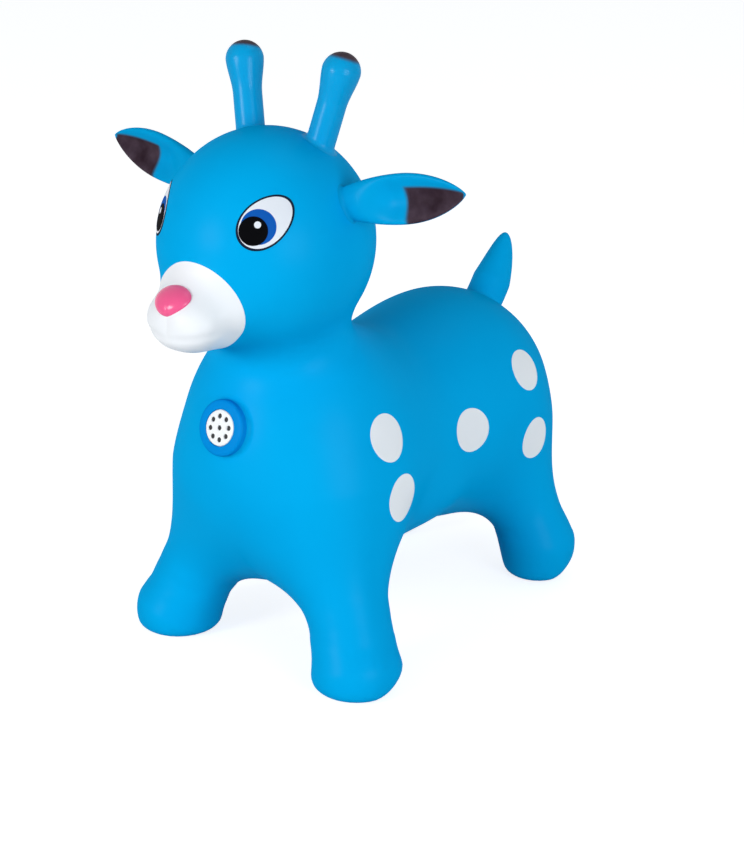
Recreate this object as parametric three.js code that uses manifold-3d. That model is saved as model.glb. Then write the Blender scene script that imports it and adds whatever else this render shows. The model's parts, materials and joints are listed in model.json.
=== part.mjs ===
// Inflatable hopper animal: a hollow moulded skin with flexing ears, horns and tail,
// an air plug under the belly and a press-to-play music box in the chest.
// Millimetres, +Z up. The animal faces -Y, its left side is +X and its soles stand on Z = 0.

import * as THREE from 'three';
import { mergeVertices } from 'three/addons/utils/BufferGeometryUtils.js';
import Module from 'manifold-3d';

const wasm = await Module();
wasm.setup();

// Fits and facets
const FIT_GAP = 0.3;
const SOCKET_GAP = 0.5;
const SKIN_CELL = 20;
const CAVITY_CELL = 34;
const ROUND_SIDES = 20;
const BARREL_SIDES = 28;
const BACKING_SIDES = 12;
const HOLE_SIDES = 10;
const HOLLOW_SIDES = 8;
const BALL_STEP = 15;
const LEAF_SIDES = 16;
const LEAF_STEPS = 9;
const LEAF_TIP_SHARE = 0.55;
const TAPER_STEPS = 8;
const TAPER_END_SHARE = 0.998;
const DOME_STEPS = 4;
const CUT_MARGIN = 1;
const WELD = 1e-4;

// Moulded skin: walls, and how far neighbouring swellings melt into each other
const SKIN_WALL = 3;
const SOLE_WALL = 5;
const SOCKET_WALL = 2.5;
const TRUNK_BLEND = 41;
const LEG_BLEND = 41;
const ANKLE_BLEND = 12;
const NECK_BLEND = 36.5;
const NAPE_BLEND = 12;
const MUZZLE_BLEND = 20;
const CHIN_BLEND = 8;

// Trunk, rump and chest
const TRUNK_AXIS_HEIGHT = 163;
const TRUNK_FRONT = 62;
const TRUNK_REAR = 123.5;
const TRUNK_RADIUS = 89;
const RUMP_DROP = 4;
const RUMP_WIDTH = 172.5;
const RUMP_LENGTH = 189.5;
const RUMP_HEIGHT = 189.5;
const CHEST_FORWARD = 10.5;
const CHEST_RISE = 15.5;
const CHEST_WIDTH = 185.5;
const CHEST_LENGTH = 177.5;
const CHEST_HEIGHT = 240.5;

// Head, muzzle and nose
const HEAD_FORWARD = 36;
const HEAD_RISE = 175;
const HEAD_WIDTH = 169;
const HEAD_LENGTH = 177;
const HEAD_HEIGHT = 179.5;
const MUZZLE_FORWARD = 66.5;
const MUZZLE_DROP = 30;
const MUZZLE_WIDTH = 90.5;
const MUZZLE_LENGTH = 105.5;
const MUZZLE_HEIGHT = 73;
const CHIN_FORWARD = 15;
const CHIN_DROP = 25;
const CHIN_WIDTH = 58;
const CHIN_LENGTH = 74;
const CHIN_HEIGHT = 35;
const NOSE_WIDTH = 29;
const NOSE_LENGTH = 11;
const NOSE_HEIGHT = 25;
const NOSE_ANGLE = 8;

// Front legs: shoulder, ankle and foot, from the trunk's front end and the floor
const SHOULDER_SPREAD = 44;
const SHOULDER_FORWARD = 29;
const SHOULDER_DROP = 30;
const SHOULDER_RADIUS = 52;
const FRONT_ANKLE_SPREAD = 85;
const FRONT_ANKLE_FORWARD = 44.5;
const FRONT_ANKLE_HEIGHT = 47.5;
const FRONT_ANKLE_RADIUS = 30;
const FRONT_FOOT_SPREAD = 96.5;
const FRONT_FOOT_FORWARD = 55.5;
const FRONT_FOOT_RADIUS = 36.5;

// Rear legs: hip, ankle and foot, from the trunk's rear end and the floor
const HIP_SPREAD = 51;
const HIP_BACK = 25.5;
const HIP_DROP = 34;
const HIP_RADIUS = 31.5;
const REAR_ANKLE_SPREAD = 86;
const REAR_ANKLE_BACK = 36;
const REAR_ANKLE_HEIGHT = 31.5;
const REAR_ANKLE_RADIUS = 30.5;
const REAR_FOOT_SPREAD = 86;
const REAR_FOOT_BACK = 37;
const REAR_FOOT_RADIUS = 29.5;
const FOOT_CENTRE_HEIGHT = 16;

// Horns: a straight shaft with a ball end, on a ball root that bends in its socket
const HORN_ROOT_ANGLE = 24.6;
const HORN_ROOT_BACK_ANGLE = 17;
const HORN_LEAN_OUT = 13.5;
const HORN_LEAN_BACK = 9.5;
const HORN_LENGTH = 73;
const HORN_ROOT_RADIUS = 11.2;
const HORN_ROOT_MARGIN = 2.8;
const HORN_NECK_RADIUS = 13.2;
const HORN_BALL_RADIUS = 15.2;
const HORN_WALL = 2.5;
const HORN_AIRWAY = 5;

// Ears: a flat leaf on a rolled root that flaps in its socket
const EAR_ROOT_ANGLE = 62.5;
const EAR_ROOT_BACK_ANGLE = 11;
const EAR_RISE = 10.8;
const EAR_SWEEP = 4.2;
const EAR_LENGTH = 106;
const EAR_ROOT_WIDTH = 26;
const EAR_WIDTH = 39;
const EAR_WIDEST_AT = 0.47;
const EAR_TIP_POWER = 0.78;
const EAR_ROOT_THICKNESS = 14;
const EAR_THICKNESS = 18;
const EAR_ROOT_MARGIN = 2.5;
const EAR_WALL = 2.5;
const EAR_AIRWAY = 4;

// Tail: a curved taper on a ball root
const TAIL_ROOT_ANGLE = 41;
const TAIL_LEAN_BACK = 44;
const TAIL_CURL_UP = 24;
const TAIL_LENGTH = 69;
const TAIL_ROOT_RADIUS = 18.5;
const TAIL_TAPER_SHARE = 0.68;
const TAIL_ROOT_MARGIN = 2.7;
const TAIL_WALL = 2.5;
const TAIL_AIRWAY = 5;

// Air plug under the belly, in a flat recess with a thick boss inside
const VALVE_BACK = 94;
const PLUG_FLANGE_RADIUS = 9;
const PLUG_FLANGE_THICKNESS = 2;
const PLUG_STEM_RADIUS = 4.2;
const PLUG_STEM_LENGTH = 12;
const PLUG_RECESS = 3;
const VALVE_BOSS_WALL = 6.5;

// Music box: heights are measured along its axis, outward from the chest
const MUSIC_HEIGHT = 49;
const COLLAR_RISE = 1;
const COLLAR_WIDTH = 1.5;
const BEZEL_OVERHANG = 2.6;
const BEZEL_HEIGHT = 6.4;
const BEZEL_EDGE = 2.6;
const BEZEL_LIP = 2;
const BEZEL_WALL = 2.9;
const GRILLE_RADIUS = 14.3;
const GRILLE_INSET = 0.4;
const GRILLE_HOLES = 8;
const GRILLE_HOLE_RADIUS = 1.6;
const GRILLE_HOLE_CIRCLE = 9;
const BUTTON_FLANGE = 1.9;
const BUTTON_FLANGE_THICKNESS = 1.5;
const BUTTON_TRAVEL = 0.8;
const PUSH_PEG_RADIUS = 1.4;
const PUSH_PEG_EDGE = 1.5;
const PUSH_PEG_CLEARANCE = 1.4;
const SPEAKER_FLANGE = 1.2;
const SPEAKER_FLANGE_WIDTH = 1.8;
const SPEAKER_DEPTH = 5.3;
const SPEAKER_SHEET = 1;
const CONE_THICKNESS = 0.5;
const CONE_DEPTH = 2.6;
const CONE_COIL_RADIUS = 3;
const MAGNET_RADIUS = 6.5;
const MAGNET_HEIGHT = 3;
const SPEAKER_SHELF = 1.5;
const BOARD_THICKNESS = 1.2;
const BOARD_CLEARANCE = 2;
const SPIGOT_LENGTH = 3;
const SPIGOT_WALL = 1.1;
const CASE_LEDGE = 0.7;
const CHIP_RADIUS = 3;
const CHIP_HEIGHT = 1.2;
const CHIP_CLEARANCE = 0.5;
const SWITCH_WIDTH = 4.6;
const SWITCH_HEIGHT = 2.7;
const PLUNGER_RADIUS = 1.3;
const PLUNGER_PROUD = 1.6;
const LEAD_RADIUS = 0.5;
const LEAD_BOW = 1.4;
const CELL_COUNT = 3;
const CELL_RADIUS = 5.8;
const CELL_HEIGHT = 5.4;
const CELL_WALL = 1;
const BOARD_TO_CONTACT = 1.8;
const CONTACT_THICKNESS = 0.3;
const FRONT_CONTACT_RADIUS = 8.6;
const REAR_CONTACT_RADIUS = 9.5;
const CONTACT_TAB_WIDTH = 2;
const CASE_FLOOR = 1.6;
const DOOR_RADIUS = 14.5;
const SCREW_CIRCLE = 11.5;
const SCREW_RADIUS = 1;
const SCREW_LENGTH = 5;
const SCREW_HEAD_RADIUS = 2.2;
const SCREW_HEAD_HEIGHT = 0.8;
const SCREW_SLOT_WIDTH = 0.6;
const POCKET_CLEARANCE = 1;
const POCKET_WALL = 2.5;

// Vectors, angles and materials
const vector = (x, y, z) => new THREE.Vector3(x, y, z);
const radians = THREE.MathUtils.degToRad;
const X_AXIS = vector(1, 0, 0);
const Y_AXIS = vector(0, 1, 0);
const Z_AXIS = vector(0, 0, 1);

const finish = (color, roughness, metalness = 0) =>
  new THREE.MeshStandardMaterial({ color, roughness, metalness });
const SKIN_VINYL = finish(0x04a3e0, 0.42);
const BEZEL_PLASTIC = finish(0x0b63c4, 0.38);
const WHITE_PLASTIC = finish(0xf2f2ee, 0.4);
const BLACK_PLASTIC = finish(0x1c1d20, 0.5);
const CLEAR_PLUG = finish(0xdfe7ea, 0.35);
const BOARD_GREEN = finish(0x1d6b3c, 0.5);
const STEEL = finish(0xb9bcc0, 0.3, 1);
const PAPER_CONE = finish(0x2a2826, 0.85);
const RED_LEAD = finish(0xb5231c, 0.5);

// A direction tilted from straight up, out to one side and backward, in degrees
function tilted(out, back) {
  const direction = vector(Math.tan(radians(out)), Math.tan(radians(back)), 1);
  return direction.normalize();
}

// Solids for cutting and joining
function solidOf(geometry) {
  const bare = geometry.clone();
  bare.deleteAttribute('normal');
  bare.deleteAttribute('uv');
  const welded = mergeVertices(bare, WELD);
  const index = welded.index.array;
  const triangles = [];
  for (let i = 0; i < index.length; i += 3) {
    const [a, b, c] = [index[i], index[i + 1], index[i + 2]];
    if (a !== b && b !== c && c !== a) triangles.push(a, b, c);
  }
  return new wasm.Manifold(new wasm.Mesh({
    numProp: 3,
    vertProperties: Float32Array.from(welded.attributes.position.array),
    triVerts: Uint32Array.from(triangles),
  }));
}

function geometryOf(solid) {
  const { vertProperties, triVerts } = solid.getMesh();
  const geometry = new THREE.BufferGeometry();
  geometry.setAttribute('position', new THREE.BufferAttribute(vertProperties, 3));
  geometry.setIndex(new THREE.BufferAttribute(triVerts, 1));
  geometry.computeVertexNormals();
  return geometry;
}

function piece(name, solid, material) {
  const mesh = new THREE.Mesh(geometryOf(solid), material);
  mesh.name = name;
  return mesh;
}

// Solid of revolution about Z from a closed outline of [radius, height] points
function lathe(outline, sides = BARREL_SIDES) {
  const points = outline.map(([radius, height]) => new THREE.Vector2(radius, height));
  if (THREE.ShapeUtils.area(points) < 0) points.reverse();
  points.push(points[0].clone());
  return solidOf(new THREE.LatheGeometry(points, sides).rotateX(Math.PI / 2));
}

function disc(radius, low, high, sides = BARREL_SIDES) {
  return lathe([[0, low], [radius, low], [radius, high], [0, high]], sides);
}

function discAt(radius, low, high, x, y, sides = ROUND_SIDES) {
  return disc(radius, low, high, sides).translate([x, y, 0]);
}

function boxSolid(size, centre) {
  return solidOf(new THREE.BoxGeometry(...size).translate(...centre));
}

// Points of an arc in the [radius, height] plane, angles in degrees from the radius axis
function arc(radius, centreHeight, from, to, steps) {
  const points = [];
  for (let i = 0; i <= steps; i += 1) {
    const angle = radians(from + ((to - from) * i) / steps);
    points.push([radius * Math.cos(angle), centreHeight + radius * Math.sin(angle)]);
  }
  return points;
}

// Closed skin over a row of rings, each an array of as many points, with a flat end on both
function loft(rings) {
  const sides = rings[0].length;
  const positions = rings.flat().concat([rings[0], rings.at(-1)].map(
    (points) => points.reduce((sum, point) => sum.add(point), vector(0, 0, 0)).divideScalar(sides)));
  const first = positions.length - 2;
  const last = positions.length - 1;
  const index = [];
  for (let side = 0; side < sides; side += 1) {
    const next = (side + 1) % sides;
    for (let row = 0; row + 1 < rings.length; row += 1) {
      const low = row * sides;
      const high = low + sides;
      index.push(low + side, low + next, high + next, low + side, high + next, high + side);
    }
    const top = (rings.length - 1) * sides;
    index.push(first, next, side, last, top + side, top + next);
  }
  const geometry = new THREE.BufferGeometry().setFromPoints(positions);
  geometry.setIndex(index);
  return solidOf(geometry);
}

function ellipse(centre, halfWidth, halfDepth, sides) {
  const points = [];
  for (let i = 0; i < sides; i += 1) {
    const angle = (2 * Math.PI * i) / sides;
    points.push(centre.clone()
      .addScaledVector(halfWidth, Math.cos(angle))
      .addScaledVector(halfDepth, Math.sin(angle)));
  }
  return points;
}

// Moulded form: swellings melted together, negative inside, mirrored about X = 0
function ellipsoidDistance(point, { centre, radii }) {
  const offset = point.clone().sub(centre).divide(radii);
  const reach = offset.length();
  return (reach * (reach - 1)) / Math.max(offset.divide(radii).length(), 1e-9);
}

function taperDistance(point, from, to) {
  const axis = to.centre.clone().sub(from.centre);
  const along = point.clone().sub(from.centre).dot(axis) / axis.lengthSq();
  const share = THREE.MathUtils.clamp(along, 0, 1);
  const nearest = from.centre.clone().addScaledVector(axis, share);
  return point.distanceTo(nearest) - THREE.MathUtils.lerp(from.radius, to.radius, share);
}

function melt(a, b, width) {
  const overlap = Math.max(width - Math.abs(a - b), 0) / width;
  return Math.min(a, b) - (overlap * overlap * width) / 4;
}

const swelling = (centre, width, length, height) => ({
  centre,
  radii: vector(width / 2, length / 2, height / 2),
});
const trunkFront = vector(0, -TRUNK_FRONT, TRUNK_AXIS_HEIGHT);
const trunkRear = vector(0, TRUNK_REAR, TRUNK_AXIS_HEIGHT - RUMP_DROP);
const rump = swelling(trunkRear, RUMP_WIDTH, RUMP_LENGTH, RUMP_HEIGHT);
const chest = swelling(trunkFront.clone().add(vector(0, -CHEST_FORWARD, CHEST_RISE)),
  CHEST_WIDTH, CHEST_LENGTH, CHEST_HEIGHT);
const head = swelling(chest.centre.clone().add(vector(0, -HEAD_FORWARD, HEAD_RISE)),
  HEAD_WIDTH, HEAD_LENGTH, HEAD_HEIGHT);
const muzzle = swelling(head.centre.clone().add(vector(0, -MUZZLE_FORWARD, -MUZZLE_DROP)),
  MUZZLE_WIDTH, MUZZLE_LENGTH, MUZZLE_HEIGHT);
const chin = swelling(muzzle.centre.clone().add(vector(0, -CHIN_FORWARD, -CHIN_DROP)),
  CHIN_WIDTH, CHIN_LENGTH, CHIN_HEIGHT);
const trunk = [
  { centre: trunkFront, radius: TRUNK_RADIUS },
  { centre: trunkRear, radius: TRUNK_RADIUS },
];

function legBall(spread, y, height, radius) {
  return { centre: vector(spread, y, height), radius };
}

const frontY = (forward) => -TRUNK_FRONT - forward;
const rearY = (back) => TRUNK_REAR + back;
const shoulderHeight = TRUNK_AXIS_HEIGHT - SHOULDER_DROP;
const hipHeight = TRUNK_AXIS_HEIGHT - HIP_DROP;
const frontLeg = [
  legBall(SHOULDER_SPREAD, frontY(SHOULDER_FORWARD), shoulderHeight, SHOULDER_RADIUS),
  legBall(FRONT_ANKLE_SPREAD, frontY(FRONT_ANKLE_FORWARD), FRONT_ANKLE_HEIGHT, FRONT_ANKLE_RADIUS),
  legBall(FRONT_FOOT_SPREAD, frontY(FRONT_FOOT_FORWARD), FOOT_CENTRE_HEIGHT, FRONT_FOOT_RADIUS),
];
const rearLeg = [
  legBall(HIP_SPREAD, rearY(HIP_BACK), hipHeight, HIP_RADIUS),
  legBall(REAR_ANKLE_SPREAD, rearY(REAR_ANKLE_BACK), REAR_ANKLE_HEIGHT, REAR_ANKLE_RADIUS),
  legBall(REAR_FOOT_SPREAD, rearY(REAR_FOOT_BACK), FOOT_CENTRE_HEIGHT, REAR_FOOT_RADIUS),
];

function legDistance(point, [top, ankle, foot]) {
  return melt(taperDistance(point, top, ankle), taperDistance(point, ankle, foot), ANKLE_BLEND);
}

function formDistance(place) {
  const point = vector(Math.abs(place.x), place.y, place.z);
  let body = melt(taperDistance(point, ...trunk), ellipsoidDistance(point, rump), TRUNK_BLEND);
  body = melt(body, ellipsoidDistance(point, chest), TRUNK_BLEND);
  body = melt(body, legDistance(point, frontLeg), LEG_BLEND);
  body = melt(body, legDistance(point, rearLeg), LEG_BLEND);
  const face = melt(ellipsoidDistance(point, muzzle), ellipsoidDistance(point, chin), CHIN_BLEND);
  const skull = melt(ellipsoidDistance(point, head), face, MUZZLE_BLEND);
  const napeShare = THREE.MathUtils.clamp((point.y - chest.centre.y) / chest.radii.y, 0, 1);
  return melt(body, skull, THREE.MathUtils.lerp(NECK_BLEND, NAPE_BLEND, napeShare));
}

function slope(distance, point) {
  const step = 0.05;
  const along = (axis) => distance(point.clone().addScaledVector(axis, step))
    - distance(point.clone().addScaledVector(axis, -step));
  return vector(along(X_AXIS), along(Y_AXIS), along(Z_AXIS)).divideScalar(2 * step);
}

const formNormal = (point) => slope(formDistance, point).normalize();

// Where a straight line from inside the form comes out of it
function surfacePoint(from, direction) {
  let inside = 0;
  let outside = HEAD_RISE + TRUNK_REAR;
  for (let i = 0; i < 50; i += 1) {
    const middle = (inside + outside) / 2;
    if (formDistance(from.clone().addScaledVector(direction, middle)) < 0) inside = middle;
    else outside = middle;
  }
  return from.clone().addScaledVector(direction, inside);
}

// Box that holds the whole form, from the swellings' own extents
function formBox(margin) {
  const box = new THREE.Box3();
  for (const { centre, radii } of [rump, chest, head, muzzle, chin]) {
    box.expandByPoint(centre.clone().add(radii)).expandByPoint(centre.clone().sub(radii));
  }
  for (const { centre, radius } of [...trunk, ...frontLeg, ...rearLeg]) {
    box.expandByPoint(centre.clone().addScalar(radius)).expandByPoint(centre.clone().subScalar(radius));
  }
  const reach = Math.max(box.max.x, -box.min.x);
  box.min.x = -reach;
  box.max.x = reach;
  return box.expandByScalar(margin);
}

// Closed mesh of the surface where distance(point) is zero: one vertex in each grid cube that the
// surface crosses, one quad across each grid edge that it crosses, then drawn onto the surface
function surfaceMesh(distance, cell) {
  const box = formBox(2 * cell);
  const counts = box.getSize(vector(0, 0, 0)).divideScalar(cell).ceil().addScalar(1);
  const origin = box.getCenter(vector(0, 0, 0)).addScaledVector(counts.clone().subScalar(1), -cell / 2);
  const nodeIndex = (i, j, k) => (k * counts.y + j) * counts.x + i;
  const nodePoint = (i, j, k) => vector(i, j, k).multiplyScalar(cell).add(origin);
  const values = [];
  for (let k = 0; k < counts.z; k += 1) {
    for (let j = 0; j < counts.y; j += 1) {
      for (let i = 0; i < counts.x; i += 1) values.push(distance(nodePoint(i, j, k)));
    }
  }
  const vertexOf = new Map();
  const points = [];
  const steps = [[1, 0, 0], [0, 1, 0], [0, 0, 1]];
  const cubeVertex = (i, j, k) => {
    const key = nodeIndex(i, j, k);
    if (!vertexOf.has(key)) {
      vertexOf.set(key, points.length);
      points.push(cubePoint(i, j, k));
    }
    return vertexOf.get(key);
  };
  const cubePoint = (i, j, k) => {
    const sum = vector(0, 0, 0);
    let crossings = 0;
    for (const [axis, step] of steps.entries()) {
      const [second, third] = [steps[(axis + 1) % 3], steps[(axis + 2) % 3]];
      for (const [a, b] of [[0, 0], [1, 0], [0, 1], [1, 1]]) {
        const start = [i, j, k].map((n, d) => n + a * second[d] + b * third[d]);
        const end = start.map((n, d) => n + step[d]);
        const low = values[nodeIndex(...start)];
        const high = values[nodeIndex(...end)];
        if (low < 0 !== high < 0) {
          sum.add(nodePoint(...start).lerp(nodePoint(...end), low / (low - high)));
          crossings += 1;
        }
      }
    }
    const point = sum.divideScalar(crossings);
    for (let pass = 0; pass < 3; pass += 1) {
      const gradient = slope(distance, point);
      point.addScaledVector(gradient, -distance(point) / gradient.lengthSq());
    }
    return point;
  };
  const index = [];
  const addQuad = (corners) => {
    const [a, b, c, d] = corners;
    const shorter = points[a].distanceTo(points[c]) < points[b].distanceTo(points[d]);
    if (shorter) index.push(a, b, c, a, c, d);
    else index.push(a, b, d, b, c, d);
  };
  for (let k = 1; k < counts.z - 1; k += 1) {
    for (let j = 1; j < counts.y - 1; j += 1) {
      for (let i = 1; i < counts.x - 1; i += 1) {
        for (const [axis, step] of steps.entries()) {
          const low = values[nodeIndex(i, j, k)];
          const high = values[nodeIndex(i + step[0], j + step[1], k + step[2])];
          if (low < 0 === high < 0) continue;
          const [second, third] = [steps[(axis + 1) % 3], steps[(axis + 2) % 3]];
          const corners = [[0, 0], [1, 0], [1, 1], [0, 1]].map(([a, b]) => cubeVertex(
            ...[i, j, k].map((n, d) => n - a * second[d] - b * third[d])));
          addQuad(low < 0 ? corners : corners.reverse());
        }
      }
    }
  }
  const geometry = new THREE.BufferGeometry().setFromPoints(points);
  geometry.setIndex(index);
  return solidOf(geometry);
}

// A place on the form with its own Z along a direction, and its own X across it
function placeAt(point, direction, across = X_AXIS) {
  const yAxis = direction.clone().cross(across).normalize();
  const xAxis = yAxis.clone().cross(direction);
  const matrix = new THREE.Matrix4().makeBasis(xAxis, yAxis, direction);
  return matrix.setPosition(point);
}

const placed = (solid, matrix) => solid.transform(matrix.elements);

function put(mesh, matrix) {
  mesh.applyMatrix4(matrix);
  return mesh;
}

// Ball root: a half-open seat in the skin, the cup behind it and the airway through the cup
function ballSeat(radius, airway, matrix) {
  const seat = radius + SOCKET_GAP;
  const cup = seat + SOCKET_WALL;
  const steps = 180 / BALL_STEP;
  const bowl = lathe(arc(seat, 0, -90, 90, steps), ROUND_SIDES);
  const mouth = disc(seat, 0, 2 * seat, ROUND_SIDES);
  return {
    hollow: placed(bowl.add(mouth).add(disc(airway, -2 * cup, 0, ROUND_SIDES)), matrix),
    backing: placed(lathe(arc(cup, 0, -90, 90, steps / 2), BACKING_SIDES), matrix),
  };
}

// Horns
const hornRootBall = HORN_ROOT_RADIUS + HORN_ROOT_MARGIN;
function hornPlace(side) {
  const root = surfacePoint(head.centre, tilted(side * HORN_ROOT_ANGLE, HORN_ROOT_BACK_ANGLE));
  return placeAt(root, tilted(side * HORN_LEAN_OUT, HORN_LEAN_BACK));
}

function hornSolid() {
  const ballHeight = HORN_LENGTH - HORN_BALL_RADIUS;
  const openingAngle = THREE.MathUtils.radToDeg(Math.acos(HORN_AIRWAY / hornRootBall));
  const shaftAngle = THREE.MathUtils.radToDeg(Math.acos(HORN_ROOT_RADIUS / hornRootBall));
  const neckAngle = THREE.MathUtils.radToDeg(Math.acos(HORN_NECK_RADIUS / HORN_BALL_RADIUS));
  const hollowRadius = HORN_BALL_RADIUS - HORN_WALL;
  const shaftHollow = HORN_ROOT_RADIUS - HORN_WALL;
  const hollowAngle = THREE.MathUtils.radToDeg(Math.acos(shaftHollow / hollowRadius));
  const outer = [
    ...arc(hornRootBall, 0, -openingAngle, shaftAngle, 7),
    ...arc(HORN_BALL_RADIUS, ballHeight, -neckAngle, 90, 6),
  ];
  const inner = [
    ...arc(hollowRadius, ballHeight, 90, -hollowAngle, 3),
    [shaftHollow, 0],
    [HORN_AIRWAY, HORN_AIRWAY - shaftHollow],
  ];
  return lathe([...outer, ...inner], ROUND_SIDES);
}

// Ears
const earRootRoll = EAR_ROOT_THICKNESS / 2 + EAR_ROOT_MARGIN;
const earRollSpan = EAR_ROOT_WIDTH - 2 * earRootRoll + FIT_GAP;
function earPlace(side) {
  const root = surfacePoint(head.centre, tilted(side * EAR_ROOT_ANGLE, EAR_ROOT_BACK_ANGLE));
  const rise = radians(EAR_RISE);
  const sweep = radians(EAR_SWEEP);
  const level = vector(side * Math.cos(sweep), Math.sin(sweep), 0);
  const axis = level.multiplyScalar(Math.cos(rise)).addScaledVector(Z_AXIS, Math.sin(rise));
  const across = Z_AXIS.clone().addScaledVector(axis, -axis.z).normalize();
  return placeAt(root, axis, across);
}

// Half of a size that swells from the ear's root to its widest place and rounds off at its tip
function earHalf(root, widest, share) {
  if (share < EAR_WIDEST_AT) {
    const before = (EAR_WIDEST_AT - share) / EAR_WIDEST_AT;
    return (widest - (widest - root) * before * before) / 2;
  }
  const past = (share - EAR_WIDEST_AT) / (1 - EAR_WIDEST_AT);
  return (widest * Math.max(1 - past * past, 0) ** EAR_TIP_POWER) / 2;
}

function earLeaf(inset, sides) {
  const rings = [];
  for (let i = 0; i < LEAF_STEPS; i += 1) {
    const share = Math.sin((Math.PI / 2) * (i / (LEAF_STEPS - LEAF_TIP_SHARE)));
    const leafWidth = earHalf(EAR_ROOT_WIDTH, EAR_WIDTH, share);
    const leafThickness = earHalf(EAR_ROOT_THICKNESS, EAR_THICKNESS, share);
    const halfWidth = Math.max(leafWidth - inset, EAR_WALL / 2);
    const halfThickness = Math.max(leafThickness - inset, EAR_WALL / 4);
    const centre = vector(0, 0, share * (EAR_LENGTH - inset));
    rings.push(ellipse(centre, vector(halfWidth, 0, 0), vector(0, halfThickness, 0), sides));
  }
  return loft(rings);
}

// Roll along the ear's width: a capsule that turns about its own axis
function earRoll(radius, sides = ROUND_SIDES) {
  return solidOf(new THREE.CapsuleGeometry(radius, earRollSpan, 4, sides).rotateZ(Math.PI / 2));
}

function earSolid() {
  const airway = disc(EAR_AIRWAY, -2 * earRootRoll, earRootRoll, ROUND_SIDES);
  const outer = earLeaf(0, LEAF_SIDES).add(earRoll(earRootRoll));
  return outer.subtract(earLeaf(EAR_WALL, HOLLOW_SIDES)).subtract(airway);
}

function earSeat(matrix) {
  const seat = earRootRoll + SOCKET_GAP;
  const cup = seat + SOCKET_WALL;
  const mouthWidth = 2 * (earHalf(EAR_ROOT_WIDTH, EAR_WIDTH, seat / EAR_LENGTH) + SOCKET_GAP);
  const mouth = boxSolid([mouthWidth, 2 * seat, 2 * cup], [0, 0, cup]);
  const airway = disc(EAR_AIRWAY, -2 * cup, 0, ROUND_SIDES);
  return {
    hollow: placed(earRoll(seat).add(mouth).add(airway), matrix),
    backing: placed(earRoll(cup, BACKING_SIDES), matrix),
  };
}

// Tail
const tailRootBall = TAIL_ROOT_RADIUS + TAIL_ROOT_MARGIN;
const tailDirection = tilted(0, TAIL_LEAN_BACK);
function tailPlace() {
  const root = surfacePoint(rump.centre, tilted(0, TAIL_ROOT_ANGLE));
  return placeAt(root, tailDirection);
}

function tailTaper(inset, sides) {
  const curl = radians(TAIL_CURL_UP);
  const path = new THREE.QuadraticBezierCurve3(
    vector(0, 0, 0),
    vector(0, 0, TAIL_LENGTH / 2),
    vector(0, -Math.sin(curl) * TAIL_LENGTH / 2, (TAIL_LENGTH / 2) * (1 + Math.cos(curl))),
  );
  const rings = [];
  for (let i = 0; i <= TAPER_STEPS; i += 1) {
    const share = Math.sin((Math.PI / 2) * (i / TAPER_STEPS)) * TAPER_END_SHARE;
    const taper = Math.min(Math.max(1 - share, 0) / TAIL_TAPER_SHARE, 1);
    const radius = Math.max(TAIL_ROOT_RADIUS * Math.sqrt(taper) - inset, TAIL_WALL / 4);
    const reach = share * (1 - inset / TAIL_LENGTH);
    const tangent = path.getTangent(reach);
    const across = X_AXIS.clone().multiplyScalar(radius);
    const depth = tangent.cross(X_AXIS).normalize().multiplyScalar(radius);
    rings.push(ellipse(path.getPoint(reach), across, depth, sides));
  }
  return loft(rings);
}

function tailSolid() {
  const rootBall = lathe(arc(tailRootBall, 0, -90, 90, 180 / BALL_STEP), ROUND_SIDES);
  const airway = disc(TAIL_AIRWAY, -2 * tailRootBall, tailRootBall, ROUND_SIDES);
  const outer = tailTaper(0, ROUND_SIDES).add(rootBall);
  return outer.subtract(tailTaper(TAIL_WALL, HOLLOW_SIDES)).subtract(airway);
}

// Air plug: its place is the belly's surface, its own Z points down and out
const valvePoint = surfacePoint(trunkFront.clone().add(vector(0, VALVE_BACK, 0)), vector(0, 0, -1));
const valvePlace = placeAt(valvePoint, vector(0, 0, -1));

function plugSolid() {
  const seat = FIT_GAP - PLUG_RECESS;
  return lathe([
    [0, seat - PLUG_STEM_LENGTH],
    [PLUG_STEM_RADIUS - FIT_GAP, seat - PLUG_STEM_LENGTH],
    [PLUG_STEM_RADIUS, seat - PLUG_STEM_LENGTH + PLUG_STEM_RADIUS],
    [PLUG_STEM_RADIUS, seat],
    [PLUG_FLANGE_RADIUS, seat],
    [PLUG_FLANGE_RADIUS, seat + PLUG_FLANGE_THICKNESS - FIT_GAP],
    [PLUG_FLANGE_RADIUS - FIT_GAP, seat + PLUG_FLANGE_THICKNESS],
    [0, seat + PLUG_FLANGE_THICKNESS],
  ], ROUND_SIDES);
}

function valveSeat() {
  const holeRadius = PLUG_STEM_RADIUS + FIT_GAP;
  const depth = PLUG_RECESS + PLUG_STEM_LENGTH;
  const recess = disc(PLUG_FLANGE_RADIUS + FIT_GAP, -PLUG_RECESS, PLUG_FLANGE_RADIUS, ROUND_SIDES);
  const hole = disc(holeRadius, -2 * depth, 0, ROUND_SIDES);
  const boss = disc(holeRadius + VALVE_BOSS_WALL, -depth, PLUG_FLANGE_RADIUS, ROUND_SIDES);
  return { hollow: placed(recess.add(hole), valvePlace), backing: placed(boss, valvePlace) };
}

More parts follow.
